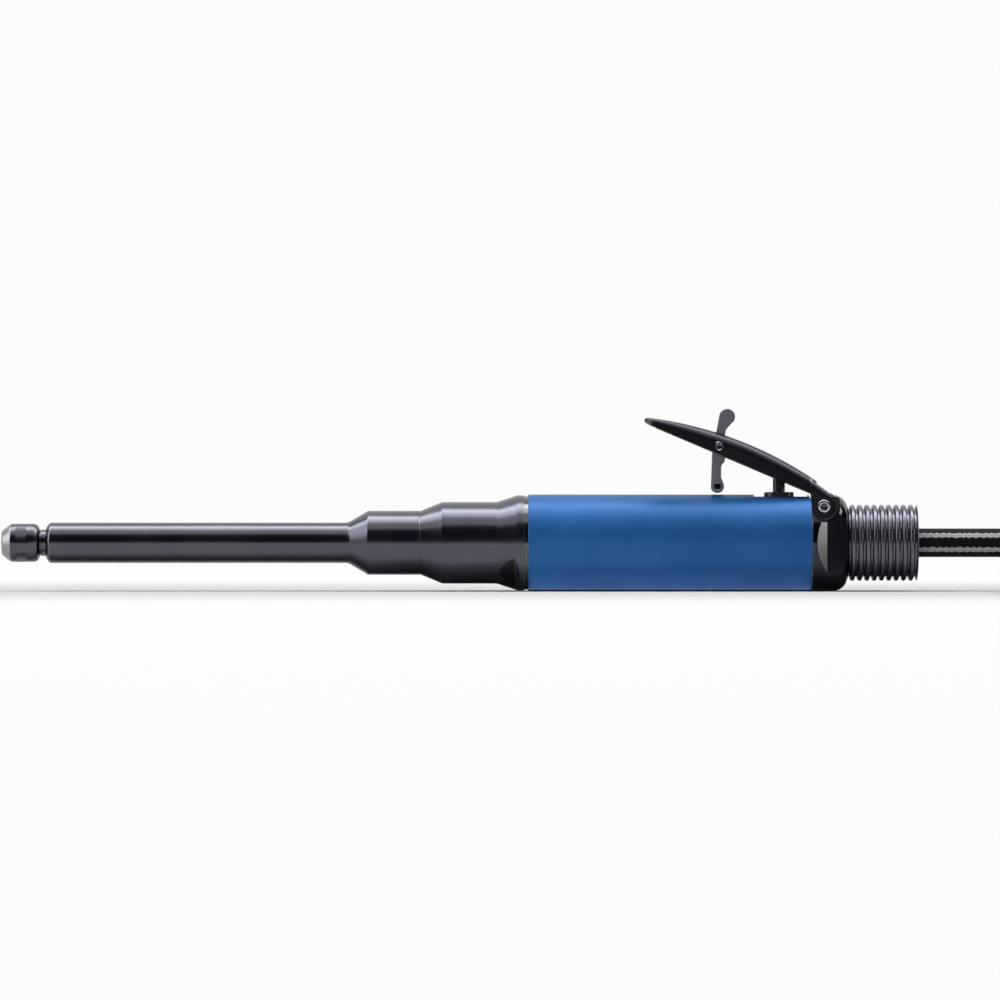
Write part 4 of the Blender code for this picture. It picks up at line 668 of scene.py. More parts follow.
# %% Make the spacer ring
RING_R = GRIP_R - 0.0006
SLEEVE_FRONT, SLEEVE_REAR = ends("grip_sleeve")
ring_front, ring_rear = HOUSING_REAR + SEAM, SLEEVE_FRONT - SEAM
ring = turned("bright_ring", [
    (ring_front, MOTOR_SEAT_R), (ring_front, RING_R), (ring_rear, RING_R), (ring_rear, MOTOR_SEAT_R)])
dress(ring, "tool_body", RING_STEEL, "bright_steel", "spacer_ring")

# %% [markdown]
# ## Grip sleeve
# The sleeve is a thin aluminium tube, blasted and dyed blue, so its coat is partly metallic and has
# a soft sheen. Its top is milled flat round the valve's button, and its rear end slopes down so that
# the lever can close. The coat is a fine grain of bumps a third of a millimetre apart, with faint
# clouds in its colour.

# %% Make the blue sleeve


def blue_coat():
    deep, fresh = (0.010, 0.092, 0.285, 1.0), (0.020, 0.124, 0.365, 1.0)
    finish = Finish("blue_coat", fresh, {"Metallic": 0.35, "Specular IOR Level": 0.3})
    grain = finish.place.noise(3200.0, 2.0)
    clouds = finish.place.noise(38.0, 5.0)
    rubbed = finish.edge * finish.place.noise(300.0, 2.0).ramp(0.45, 0.7)
    coat = (clouds * 0.75 + grain * 0.25).ramp(0.25, 0.75).mix(deep, fresh)
    finish.vary("Base Color", (rubbed * 0.5).mix(coat, (0.10, 0.27, 0.58, 1.0)))
    finish.vary("Roughness", 0.44 + (grain - 0.5) * 0.22 + (clouds - 0.5) * 0.10)
    finish.bump(grain, 0.00002, 0.35)
    return finish.material


BLUE_COAT = blue_coat()
SLEEVE_BORE_R = 0.0185
sleeve = turned("blue_sleeve", [
    (SLEEVE_FRONT, SLEEVE_BORE_R), (SLEEVE_FRONT, GRIP_R, 0.0004), (SLEEVE_REAR, GRIP_R, 0.0003),
    (SLEEVE_REAR, SLEEVE_BORE_R)])
print("sleeve blank faces:", len(sleeve.data.polygons))

# %% Mill and drill the sleeve
COLLAR_FRONT = SLEEVE_REAR + SEAT_GAP
VALVE_AT = COLLAR_FRONT - 0.0135
VALVE_HOLE_R = 0.0066
ON_VALVE = ON_AXIS @ Matrix.Translation((VALVE_AT, 0.0, 0.0)) @ Matrix.Rotation(-math.pi / 2, 4, "Y")
SPOT_FACE = GRIP_R - 0.00085
SPOT_REAR = SLEEVE_REAR - 0.0011
SPOT_LENGTH = 0.0227
OUTSIDE = 0.03               # a distance from the axis that is clear of the tool
spot = oblong(SPOT_REAR - SPOT_LENGTH, SPOT_REAR, SPOT_FACE, OUTSIDE)
END_FOOT = GRIP_R - 0.00465
END_TOP = GRIP_R + 0.0031
slope = [(SLEEVE_REAR + 0.0005, END_FOOT), (SLEEVE_REAR - 0.0010, GRIP_R),
         (SLEEVE_REAR - 0.0020, END_TOP), (SLEEVE_REAR + 0.01, END_TOP), (SLEEVE_REAR + 0.01, END_FOOT)]
machine(sleeve, prism("spot", spot, -GRIP_R, GRIP_R), prism("slope", slope, -GRIP_R, GRIP_R),
        drilled(0.0, OUTSIDE, VALVE_HOLE_R, ON_VALVE, 64))
dress(sleeve, "tool_body", BLUE_COAT, "blue_grip", "grip_sleeve")

# %% [markdown]
# ## Valve housing
# Behind the grip sits the housing of the air valve. Its rear rim is a large round, and two round
# pockets take the lever's ears, with a lug left standing between them. The spanner flats on its
# flanks lean a little, and the slope where the mill came out gets a lighter bare steel, partly a
# painted highlight for the light that it catches. It is turned first and milled afterwards, in the
# order of a workshop.

# %% Turn the valve housing
CASE_R = 0.0182
CASE_FRONT = COLLAR_FRONT - 0.0295
CASE_SPIGOT_R = 0.0156
COLLAR_REAR = COLLAR_FRONT + 0.0154
COLLAR_ROUND = 0.0063
HOUSING_NOSE, STUB_REAR = ends("valve_housing")
STUB_R = 0.0127
INLET_R = 0.0070
INLET_END = STUB_REAR - 0.0215
AIR_WAY_R = 0.0045


def arc(middle, radius, start, end, steps):
    """Points on a circle from one angle to another, in degrees."""
    angles = np.radians(np.linspace(start, end, steps + 1))
    return [(middle[0] + radius * math.cos(a), middle[1] + radius * math.sin(a)) for a in angles]


rear_round = arc((COLLAR_REAR - COLLAR_ROUND, GRIP_R - COLLAR_ROUND), COLLAR_ROUND, 90.0, 0.0, 14)
collar = turned("collar", [
    (HOUSING_NOSE, 0.0), (HOUSING_NOSE, CASE_SPIGOT_R), (CASE_FRONT, CASE_SPIGOT_R),
    (CASE_FRONT, CASE_R), (SLEEVE_REAR + SEAM, CASE_R), (SLEEVE_REAR + SEAM, GRIP_R, 0.0003),
    *rear_round, (COLLAR_REAR, STUB_R), (STUB_REAR, STUB_R, 0.0005), (STUB_REAR, INLET_R),
    (INLET_END, INLET_R), (INLET_END, AIR_WAY_R), (VALVE_AT, AIR_WAY_R), (VALVE_AT, 0.0)])
print("valve housing blank faces:", len(collar.data.polygons))

# %% Mill and drill the valve housing
HINGE = Vector((COLLAR_FRONT + 0.0051, GRIP_R - 0.00505))
HINGE_HOLE_R = 0.0023
VALVE_BORE_R = 0.0053
LUG_HALF = 0.0060
POCKET_R = 0.0065
POCKET_TOP = GRIP_R + 0.002
REAR_FLAT = 0.0160           # from the axis to a flat
REAR_FLATS_TURN = 88.8       # degrees from facing up: a right angle, less the lean
REAR_FOOT = COLLAR_FRONT + 0.0060
REAR_END = COLLAR_REAR + 0.01
PORT_R = 0.0016
PORT_OUT, PORT_UP = 0.010, 0.003


def across_at(x, z):
    """A place whose X axis runs across the tool, at a station and a height over its axis."""
    return ON_AXIS @ Matrix.Translation((x, 0.0, z)) @ Matrix.Rotation(math.pi / 2, 4, "Z")


AT_HINGE = across_at(*HINGE)
pocket = arc(HINGE, POCKET_R, 180.0, 360.0, 32)
pocket += [(HINGE.x + POCKET_R, POCKET_TOP), (HINGE.x - POCKET_R, POCKET_TOP)]
rear_flat = [(REAR_FOOT, REAR_FLAT), (REAR_FOOT - RUN_OUT, REAR_FLAT + RUN_OUT),
             (REAR_END, REAR_FLAT + RUN_OUT), (REAR_END, REAR_FLAT)]
tools = [drilled(-OUTSIDE, OUTSIDE, VALVE_BORE_R, ON_VALVE),
         drilled(-0.012, 0.012, HINGE_HOLE_R, AT_HINGE)]
tools += [prism("pocket", pocket, -OUTSIDE, -LUG_HALF), prism("pocket", pocket, LUG_HALF, OUTSIDE)]
for side in (-1, 1):
    tools.append(prism("flat", rear_flat, -GRIP_R, GRIP_R, about_axis(side * REAR_FLATS_TURN)))
for side, level in ((-1, -1), (-1, 1), (1, -1), (1, 1)):
    port_at = ON_AXIS @ Matrix.Translation((0.0, side * PORT_OUT, level * PORT_UP))
    tools.append(drilled(HOUSING_NOSE - 0.01, STUB_REAR + 0.01, PORT_R, port_at))
machine(collar, *tools)
dress(collar, "tool_body", COLLAR_STEEL, "dark_steel", "valve_housing")


def run_out_with_painted_highlight(face):
    slopes = face.normal.x > 0.6 and abs(face.normal.y) > 0.6 and abs(face.normal.z) < 0.1
    return slopes and COLLAR_FRONT < face.center.x - NOSE_X < REAR_FOOT


# The run-out slopes get a lighter bare steel, partly a painted highlight for the light they catch.
refinish(collar, MILLED_STEEL_AND_PAINTED_HIGHLIGHT, run_out_with_painted_highlight)

# %% [markdown]
# ## Valve bush and stem
# The lever presses a round stem down through a flanged bush. The stem is the pillar seen under the
# lever, and the flange its foot. Both are black, with bright corners where they rub.

# %% Make the bush and the stem


def black_oxide(name, level, roughness, metallic=0.85):
    finish = Finish(name, grey(level, 0.08), {"Metallic": metallic})
    clouds = finish.place.noise(90.0, 4.0)
    grain = finish.place.noise(1800.0, 3.0)
    rubbed = finish.edge * finish.place.noise(500.0, 3.0).ramp(0.4, 0.65)
    coat = (clouds * 0.6 + grain * 0.4).mix(grey(level * 0.75, 0.10), grey(level * 1.25, 0.06))
    finish.vary("Base Color", (rubbed * 0.6).mix(coat, grey(0.34, 0.03)))
    finish.vary("Roughness", roughness + (clouds - 0.5) * 0.16 + (grain - 0.5) * 0.10)
    finish.bump(grain, 0.000006, 0.4)
    return finish.material


BLACK_OXIDE = black_oxide("black_oxide", 0.040, 0.24)
BUSH_FOOT, FLANGE_FOOT, BUSH_TOP = 0.0113, 0.0185, GRIP_R + 0.00105
BUSH_R, FLANGE_R, BUSH_BORE_R = 0.0050, 0.0063, 0.00295
bush = turned("bush", [
    (BUSH_FOOT, BUSH_BORE_R), (BUSH_FOOT, BUSH_R), (FLANGE_FOOT, BUSH_R), (FLANGE_FOOT, FLANGE_R),
    (BUSH_TOP, FLANGE_R, 0.0005), (BUSH_TOP, 0.0040, 0.0002), (BUSH_TOP - 0.0004, BUSH_BORE_R)],
    ON_VALVE, 96)
dress(bush, "tool_body", BLACK_OXIDE, "black_oxide", "valve_bush")
STEM_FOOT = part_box("valve_stem")[0].z - AXIS_Z
STEM_SHOULDER, STEM_TOP = 0.0092, GRIP_R + 0.00725
STEM_R, STEM_WAIST_R = 0.00255, 0.0016
SEAL_FROM, SEAL_TO, SEAL_R = STEM_FOOT + 0.0026, STEM_FOOT + 0.0052, 0.0043
stem = turned("stem", [
    (STEM_FOOT, 0.0), (STEM_FOOT, 0.0017), (SEAL_FROM, 0.0017), (SEAL_FROM, SEAL_R), (SEAL_TO, SEAL_R),
    (SEAL_TO, STEM_WAIST_R), (STEM_SHOULDER, STEM_WAIST_R), (STEM_SHOULDER, STEM_R),
    (STEM_TOP, STEM_R, 0.0007), (STEM_TOP, 0.0)], ON_VALVE, 64)
dress(stem, "valve_stem", BLACK_OXIDE, "spindle_steel", "valve_stem")

# %% [markdown]
# ## Lever
# The lever is pressed from sheet: an arched back with soft edges and a rounded nose, two side walls
# that draw in a little towards the back, and ears on the hinge pin. Here it is lofted from cross
# sections, hollowed from below, and slotted for the latch. The edge of the back is rounded wide,
# because that round carries the long grey highlight which draws the lever's arch. A cross bar under
# the back presses on the valve's stem.

# %% The lever's curves
LEVER_HALF = 0.0083
LEVER_WALL = 0.0020
LEVER_REACH = 0.0751
LEVER_TIP_HEIGHT = 0.0374
LEVER_TIP_DEPTH = 0.0023
LEVER_NOSE = 0.0018
LEVER_ARC = 0.157
LEVER_EDGE = 0.0050
LEVER_DRAFT = 0.0003         # how much narrower the back is than the foot of its sides
LEVER_TIP_ROUND = 0.0080
HEEL = Vector((0.0028, 0.0066))
EAR_R = 0.0050
EAR_TOP = 0.0053
ON_HINGE = ON_AXIS @ Matrix.Translation((HINGE.x, 0.0, HINGE.y))


def rounding_off(x):
    """How far the round nose draws in the lever's back and lower edge."""
    into_nose = min(max(1.0 - (x + LEVER_REACH) / LEVER_NOSE, 0.0), 0.98)
    return LEVER_TIP_DEPTH / 2 * (1.0 - math.sqrt(1.0 - into_nose ** 2))


def lever_back(x):
    """Height of the arched back over the hinge."""
    tip = Vector((-LEVER_REACH, LEVER_TIP_HEIGHT))
    chord = HEEL - tip
    across = Vector((-chord.y, chord.x)).normalized()
    middle = (tip + HEEL) / 2 - across * math.sqrt(LEVER_ARC ** 2 - (chord.length / 2) ** 2)
    if x <= HEEL.x:
        return middle.y + math.sqrt(LEVER_ARC ** 2 - (x - middle.x) ** 2) - rounding_off(x)
    share = (x - HEEL.x) / (EAR_R - HEEL.x)
    return HEEL.y * math.sqrt(max(1.0 - share ** 2, 0.0)) + SEAT_GAP


def lever_lower_edge(x):
    """A rounded tip, then a straight side down to the round ears."""
    if x < -EAR_R:
        tip = LEVER_TIP_HEIGHT - LEVER_TIP_DEPTH
        return tip + (EAR_TOP - tip) * (x + LEVER_REACH) / (LEVER_REACH - EAR_R) + rounding_off(x)
    return -math.sqrt(max(EAR_R ** 2 - x ** 2, 0.0))


def lever_half_width(x):
    into_round = max(LEVER_TIP_ROUND - (x + LEVER_REACH), 0.0) / LEVER_TIP_ROUND
    return LEVER_HALF * math.sqrt(1.0 - 0.8 * into_round ** 2)


print(f"lever {LEVER_REACH:.4f} m long, its back {lever_back(0.0):.4f} m over the hinge")

# %% Loft the lever


def lofted_lever():
    tip_shares = np.linspace(0.0, 1.0, 12, endpoint=False)
    tip = [LEVER_TIP_ROUND * share ** 2 - LEVER_REACH for share in tip_shares]
    side = list(np.linspace(LEVER_TIP_ROUND - LEVER_REACH, -EAR_R * 1.002, 60))
    ear = [EAR_R * math.sin(a) for a in np.radians(np.linspace(-88.0, 78.0, 24))]
    bm = bmesh.new()
    rings = []
    for x in tip + side + ear:
        back, low, half = lever_back(x), lever_lower_edge(x), lever_half_width(x)
        edge = min(LEVER_EDGE, (back - low) * 0.6, half - LEVER_DRAFT)
        rim = [(half, low)] + arc((half - LEVER_DRAFT - edge, back - edge), edge, 0.0, 90.0, 12)
        rim += [(-y, z) for y, z in reversed(rim)]
        rings.append([bm.verts.new(ON_HINGE @ Vector((x, y, z))) for y, z in rim])
    for ring, after in zip(rings, rings[1:]):
        bridge(bm, ring, after)
    bm.faces.new(rings[0])
    bm.faces.new(rings[-1])
    return as_piece("throttle_lever", bm)


lever = lofted_lever()
print("lever blank faces:", len(lever.data.polygons))

# %% Hollow, slot and drill the lever
WEB_END = -0.0030            # where the back ends, in front of the hinge
INNER_HALF = LEVER_HALF - LEVER_WALL
PIVOT = Vector((-0.0438, 0.0255))
PIVOT_HOLE_R = 0.0019
AT_PIVOT = across_at(*(HINGE + PIVOT))
LATCH_HALF = 0.0025
SLOT_HALF = LATCH_HALF + 0.0004
SLOT_FRONT, SLOT_REAR = PIVOT.x - 0.0148, PIVOT.x + 0.0048
PAD_R = 0.0026
PAD_END = INNER_HALF + 0.0005
channel_start = LEVER_TIP_ROUND * 0.6 - LEVER_REACH
channel = [(x, lever_back(x) - LEVER_WALL) for x in np.linspace(channel_start, WEB_END, 30)]
channel += [(WEB_END, 0.05), (0.02, 0.05), (0.02, -0.02), (channel_start, -0.02)]
latch_slot = oblong(SLOT_FRONT, SLOT_REAR, PIVOT.y - 0.01, 0.06)
pad_at = across_at(VALVE_AT, STEM_TOP + SEAT_GAP + PAD_R)
machine(lever, prism("channel", channel, -INNER_HALF, INNER_HALF, ON_HINGE))
machine(lever, drilled(-PAD_END, PAD_END, PAD_R, pad_at), operation="UNION")
machine(lever, prism("slot", latch_slot, -SLOT_HALF, SLOT_HALF, ON_HINGE),
        drilled(-0.02, 0.02, HINGE_HOLE_R, AT_HINGE), drilled(-0.02, 0.02, PIVOT_HOLE_R, AT_PIVOT))
dress(lever, "lever", BLACK_OXIDE, "black_oxide", "lever")

# %% [markdown]
# ## Pins
# The hinge pin is riveted over, with a bright domed head and a dimple in its middle. The dimple gets
# the dark neck steel, a painted shade for the hollow. The latch's pin is plain and flush, with a small
# dimple from the punch that swelled it tight.

# %% Turn the pins
PIN_END = LEVER_HALF + SEAT_GAP
DIMPLE_R = 0.0014


def both_ends(tip):
    """The outline of a pin with the same tip at both ends."""
    return tip + [(-along, *rest) for along, *rest in reversed(tip)]


def dimple_with_painted_shade(face):
    return math.hypot(face.center.x - NOSE_X - HINGE.x, face.center.z - AXIS_Z - HINGE.y) < DIMPLE_R


hinge_pin = turned("rivet", both_ends([
    (PIN_END + 0.0002, 0.0), (PIN_END + 0.0003, 0.0010, 0.0003), (PIN_END + 0.0007, 0.0017, 0.0003),
    (PIN_END + 0.0005, 0.0028, 0.0004), (PIN_END, 0.0028), (PIN_END, 0.0020)]), AT_HINGE, 64)
dress(hinge_pin, "tool_body", PIN_STEEL, "bright_steel", "hinge_pin")
# The dimple's faces get the dark neck steel, a painted shade for the hollow.
refinish(hinge_pin, NECK_STEEL, dimple_with_painted_shade)
latch_pin = turned("latch_pivot", both_ends([
    (PIN_END - 0.0005, 0.0), (PIN_END - 0.0001, 0.0009, 0.0002), (PIN_END, 0.0016, 0.0002)]),
    AT_PIVOT, 48)
dress(latch_pin, "lever", NECK_STEEL, "bright_steel", "latch_pin")

# %% [markdown]
# ## Safety latch
# A flat lever, stamped from plate, swings on the small pin. Its foot stands over the sleeve and
# keeps the lever up until a finger pushes the head forwards. The outline has a round head with a
# drawn-in neck behind it, a small step under the lever, and a round foot. A pin sits deep in the
# foot's hole, so the background doesn't show through it. It is coloured near black, partly a
# painted shade for the dark inside the hole.

# %% Stamp the safety latch
FOOT = Vector((-0.0006, -0.01705))
FOOT_R, FOOT_HOLE_R = 0.00275, 0.0015
HEAD = Vector((0.0035, 0.0122))
HEAD_R = 0.0033
ON_PIVOT = ON_HINGE @ Matrix.Translation((PIVOT.x, 0.0, PIVOT.y))
AT_FOOT = across_at(*(HINGE + PIVOT + FOOT))
outline = arc(FOOT, FOOT_R, 190.0, 385.0, 24)
outline += [(0.0009, -0.0133), (0.0009, -0.0091), (0.0014, -0.0077), (0.0023, -0.0069),
            (0.0027, -0.0048), (0.0029, 0.0), (0.0025, 0.0043), (0.0030, 0.0068)]
outline += arc(HEAD, HEAD_R, -58.0, 176.0, 28)
outline += [(-0.0012, 0.0052), (-0.0027, 0.0), (-0.0029, -0.0060)]
latch = prism("latch_plate", outline, -LATCH_HALF, LATCH_HALF, ON_PIVOT)
edge_break = latch.modifiers.new("edge_break", "BEVEL")
edge_break.width = 0.00035
edge_break.segments = 2
edge_break.limit_method = "ANGLE"
edge_break.angle_limit = math.radians(60.0)
machine(latch, drilled(-0.01, 0.01, PIVOT_HOLE_R, AT_PIVOT), drilled(-0.01, 0.01, FOOT_HOLE_R, AT_FOOT))
LATCH_GREY = black_oxide("latch_grey", 0.13, 0.48, 0.3)
dress(latch, "safety_latch", LATCH_GREY, "latch_grey", "safety_latch")
FOOT_PIN_R = 0.00142
FOOT_PIN_END = LATCH_HALF - 0.0012
foot_pin = drilled(-FOOT_PIN_END, FOOT_PIN_END, FOOT_PIN_R, AT_FOOT)
foot_pin.name = "foot_pin"
# The pin is coloured near black, partly a painted shade for the dark inside the hole.
dress(foot_pin, "safety_latch", black_oxide("pin_black", 0.005, 0.5), "black_oxide")

# %% [markdown]
# ## Springs, wound by Geometry Nodes
# A spring follows a rule: a wire, a diameter, a pitch and a number of turns. The tree below winds
# any such coil from named inputs, so one tree serves both springs in the tool. The node named
# Spiral draws the middle line, and Curve to Mesh gives it the wire's thickness.

# %% Helpers for node trees


def node_group(name, inputs):
    """An empty Geometry Nodes tree with named inputs, and the flow of each of them."""
    tree = bpy.data.node_groups.new(name, "GeometryNodeTree")
    tree.interface.new_socket("Geometry", in_out="OUTPUT", socket_type="NodeSocketGeometry")
    for label, kind in inputs.items():
        tree.interface.new_socket(label, in_out="INPUT", socket_type=kind)
    source = tree.nodes.new("NodeGroupInput")
    flows = {label: Flow(tree, source.outputs[label]) for label in inputs}
    return tree, Flow(tree), flows


def close_group(tree, geometry, finish):
    """End a tree with plain mesh in its finish."""
    flow = Flow(tree)
    plain = flow.node("GeometryNodeRealizeInstances", None, {"Geometry": geometry})
    welded = flow.node("GeometryNodeMergeByDistance", None, {"Geometry": plain, "Distance": 0.000001})
    coated = flow.node("GeometryNodeSetMaterial", None, {"Geometry": welded, "Material": finish})
    flow.node("NodeGroupOutput", None, {"Geometry": coated})


def grow(name, tree, values):
    """Run a tree with these inputs, and keep its result as a plain mesh."""
    piece = bpy.data.objects.new(name, bpy.data.meshes.new(name))
    bpy.context.scene.collection.objects.link(piece)
    modifier = piece.modifiers.new(name, "NODES")
    modifier.node_group = tree
    for item in tree.interface.items_tree:
        if item.in_out == "INPUT":
            modifier[item.identifier] = values[item.name]
    settle(piece)
    bm = bmesh.new()
    bm.from_mesh(piece.data)
    bmesh.ops.recalc_face_normals(bm, faces=bm.faces)
    bm.to_mesh(piece.data)
    bm.free()
    return piece


print("helpers for node trees ready")

# %% Build the spring tree


def spring_tree():
    number, whole = "NodeSocketFloat", "NodeSocketInt"
    tree, flow, size = node_group("wound_spring", {
        "Turns": number, "Coil radius": number, "Wire radius": number, "Height": number,
        "Steps": whole, "Finish": "NodeSocketMaterial"})
    line = flow.node("GeometryNodeCurveSpiral", None, {
        "Resolution": size["Steps"], "Rotations": size["Turns"], "Start Radius": size["Coil radius"],
        "End Radius": size["Coil radius"], "Height": size["Height"]})
    wire = flow.node("GeometryNodeCurvePrimitiveCircle", None, {
        "Radius": size["Wire radius"], "Resolution": 12})
    coil = flow.node("GeometryNodeCurveToMesh", None, {
        "Curve": line, "Profile Curve": wire, "Fill Caps": True})
    close_group(tree, coil, size["Finish"])
    return tree


SPRING_TREE = spring_tree()


def wound(name, place, turns, coil_r, wire, length):
    """A spring wound up the Z axis of a place, to this length over its end turns."""
    coil = grow(name, SPRING_TREE, {
        "Turns": turns, "Coil radius": coil_r, "Wire radius": wire / 2, "Height": length - wire,
        "Steps": 28, "Finish": SPINDLE_STEEL})
    coil.data.transform(place @ Matrix.Translation((0.0, 0.0, wire / 2)))
    return coil


print("spring tree inputs:", [item.name for item in SPRING_TREE.interface.items_tree])

# %% Wind the valve spring and the latch spring
VALVE_WIRE, VALVE_COIL_R, VALVE_TURNS = 0.0008, 0.0033, 4.0
valve_foot, valve_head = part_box("valve_spring")
spring_at = Matrix.Translation((NOSE_X + VALVE_AT, 0.0, valve_foot.z))
valve_spring = wound("valve_coil", spring_at, VALVE_TURNS, VALVE_COIL_R, VALVE_WIRE,
                     valve_head.z - valve_foot.z)
dress(valve_spring, "tool_body", SPINDLE_STEEL, "spindle_steel", "valve_spring")
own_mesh(valve_spring)
LATCH_WIRE, LATCH_COIL_R, LATCH_TURNS = 0.0007, 0.0025, 2.0
side_low, side_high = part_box("latch_spring")
latch_at = Matrix.Translation((0.0, side_low.y, 0.0)) @ AT_PIVOT @ Matrix.Rotation(math.pi / 2, 4, "Y")
latch_spring = wound("latch_coil", latch_at, LATCH_TURNS, LATCH_COIL_R, LATCH_WIRE,
                     side_high.y - side_low.y)
dress(latch_spring, "lever", SPINDLE_STEEL, "spindle_steel", "latch_spring")

# %% [markdown]
# ## Corrugated exhaust hose
# The spent air leaves through a ribbed plastic hose that is pushed over the housing's stub. One rib
# is turned as an open strip, from valley to valley, and Geometry Nodes repeat it at the hose's
# pitch. A second strip closes the hose: the third of a rib that is left where the hose was cut, the
# cut face, the bore and the front face. Welding the strips gives one closed skin.

# %% The outline of a rib
CREST_R = 0.0160
VALLEY_R = 0.0142
EXHAUST_BORE_R = 0.0130
RIBS = 9
RIB_SIDES = 112
RIB_CUT = 0.32               # share of the last rib left where the hose was cut
RIB_FOOT = 0.78              # share of the pitch that a rib takes up
exhaust_front, exhaust_rear = ends("exhaust_hose")
RIB_PITCH = (exhaust_rear - exhaust_front) / (RIBS + RIB_CUT)


def rib_radius(share):
    """The hose's radius within a rib: a full, round crest between flat valleys."""
    from_crest = min(abs(2.0 * share - 1.0) / RIB_FOOT, 1.0)
    lift = (1.0 - from_crest ** 2.8) ** 0.5
    return VALLEY_R + (CREST_R - VALLEY_R) * lift


def rib_points(front, end, steps):
    """Points of one rib from its front to a share of its length, as stations and radii."""
    return [(front + share * RIB_PITCH, rib_radius(share)) for share in np.linspace(0.0, end, steps)]


print(f"{RIBS} ribs and a piece, {RIB_PITCH * 1000:.2f} mm apart")

# %% Build the tree that repeats the ribs


def open_strip(name, points):
    """A turned strip whose ends stay open, to be welded to the next one."""
    strip = turned(name, points, sides=RIB_SIDES)
    bm = bmesh.new()
    bm.from_mesh(strip.data)
    bm.faces.ensure_lookup_table()
    bmesh.ops.delete(bm, geom=list(bm.faces)[-RIB_SIDES:], context="FACES_ONLY")
    bm.to_mesh(strip.data)
    bm.free()
    return strip


def rib_tree():
    tree, flow, size = node_group("repeated_ribs", {
        "Rib": "NodeSocketObject", "End": "NodeSocketObject", "Ribs": "NodeSocketInt",
        "Pitch": "NodeSocketFloat", "Finish": "NodeSocketMaterial"})
    step = flow.node("ShaderNodeCombineXYZ", None, {"X": size["Pitch"]})
    line = flow.node("GeometryNodeMeshLine", None, {"Count": size["Ribs"], "Offset": step})
    rib = flow.node("GeometryNodeObjectInfo", None, {"Object": size["Rib"]}, "Geometry")
    end = flow.node("GeometryNodeObjectInfo", None, {"Object": size["End"]}, "Geometry")
    row = flow.node("GeometryNodeInstanceOnPoints", None, {"Points": line, "Instance": rib})
    both = flow.node("GeometryNodeJoinGeometry", None, {"Geometry": row})
    tree.links.new(end.socket, both.socket.node.inputs["Geometry"])
    close_group(tree, both, size["Finish"])
    return tree


RIB_TREE = rib_tree()
print("rib tree inputs:", [item.name for item in RIB_TREE.interface.items_tree])

# %% Mould the exhaust hose


def ribbed_plastic():
    finish = Finish("ribbed_plastic", grey(0.14, 0.09), {"Metallic": 0.9})
    clouds = finish.place.noise(140.0, 4.0)
    dust = finish.place.noise(900.0, 3.0)
    finish.vary("Base Color", (clouds * 0.6 + dust * 0.4).mix(grey(0.12, 0.11), grey(0.17, 0.07)))
    finish.vary("Roughness", 0.26 + (clouds - 0.5) * 0.12 + (dust - 0.5) * 0.08)
    finish.bump(dust, 0.000004, 0.3)
    return finish.material


RIBBED_PLASTIC = ribbed_plastic()
rib = open_strip("rib", rib_points(exhaust_front, 1.0, 29))
hose_end = open_strip("hose_end", rib_points(exhaust_front + RIBS * RIB_PITCH, RIB_CUT, 13) + [
    (exhaust_rear, EXHAUST_BORE_R), (exhaust_front, EXHAUST_BORE_R), (exhaust_front, VALLEY_R)])
exhaust = grow("ribbed_hose", RIB_TREE, {
    "Rib": rib, "End": hose_end, "Ribs": RIBS, "Pitch": RIB_PITCH, "Finish": RIBBED_PLASTIC})
for helper in (rib, hose_end):
    bpy.data.meshes.remove(helper.data)
dress(exhaust, "tool_body", RIBBED_PLASTIC, "black_rubber", "exhaust_hose")

# %% [markdown]
# ## Woven cover of the supply hose
# The hose is covered with black braid, with grey yarns that run along it as stripes. The yarns
# cross slantwise, so a stripe's edge is a row of small teeth that shift round the hose and are never
# quite even. The pattern follows the hose's own UV map: metres along it, turns round it. Two sets of
# slanted waves make the braid's bumps, and a zigzag that wanders a little shifts the edges of the
# stripes.

# %% Weave the hose's cover
STRIPES = (0.160, 0.330, 0.660, 0.830)   # turns from the top of the hose, towards the viewer
STRIPE_HALF = 0.031
TOOTH_LENGTH = 0.0029
TOOTH_SLANT = 0.011          # metres that the teeth shift for a turn round the hose
YARNS = 14


def braided_cover():
    finish = Finish("braided_cover", grey(0.006), {"Metallic": 0.0, "Specular IOR Level": 0.1})
    flow = finish.flow
    spot = flow.node("ShaderNodeUVMap", {"uv_map": "along_round"})
    along, around = spot.part(0), spot.part(1)
    slant = along * (1.0 / TOOTH_LENGTH)
    left = flow.sum("SINE", (slant + around * YARNS) * (2 * math.pi))
    right = flow.sum("SINE", (slant - around * YARNS) * (2 * math.pi))
    weave = (left * right) * 0.5 + 0.5
    fibre = finish.place.noise(2600.0, 3.0)
    wander = finish.place.noise(260.0, 1.0) * 0.004
    tooth_at = along + around * TOOTH_SLANT + wander
    teeth = flow.sum("PINGPONG", tooth_at, TOOTH_LENGTH / 2) * (0.030 / TOOTH_LENGTH)
    stripe = 0.0
    for centre in STRIPES:
        apart = flow.sum("ABSOLUTE", around - centre)
        stripe = stripe + (1.0 - (apart + teeth).ramp(STRIPE_HALF, STRIPE_HALF + 0.010))
    black = (weave * 0.6 + fibre * 0.4).mix(grey(0.002), grey(0.009, 0.03))
    pale = (weave * 0.25 + fibre * 0.75).ramp(0.2, 0.8).mix(grey(0.27, 0.01), grey(0.47, 0.01))
    finish.vary("Base Color", stripe.mix(black, pale))
    finish.vary("Roughness", 0.62 + (fibre - 0.5) * 0.2)
    finish.bump(weave * 0.7 + fibre * 0.3, 0.00012, 0.6)
    return finish.material


BRAIDED_COVER = braided_cover()
hose.data.materials.append(BRAIDED_COVER)
print("stripes on the hose:", len(STRIPES))

# %% [markdown]
# ## Plug, ferrule and tie
# At its far end the hose is crimped into a ferrule with a quick plug, whose groove a coupling's
# balls snap into. A woven strap holds the coil together.

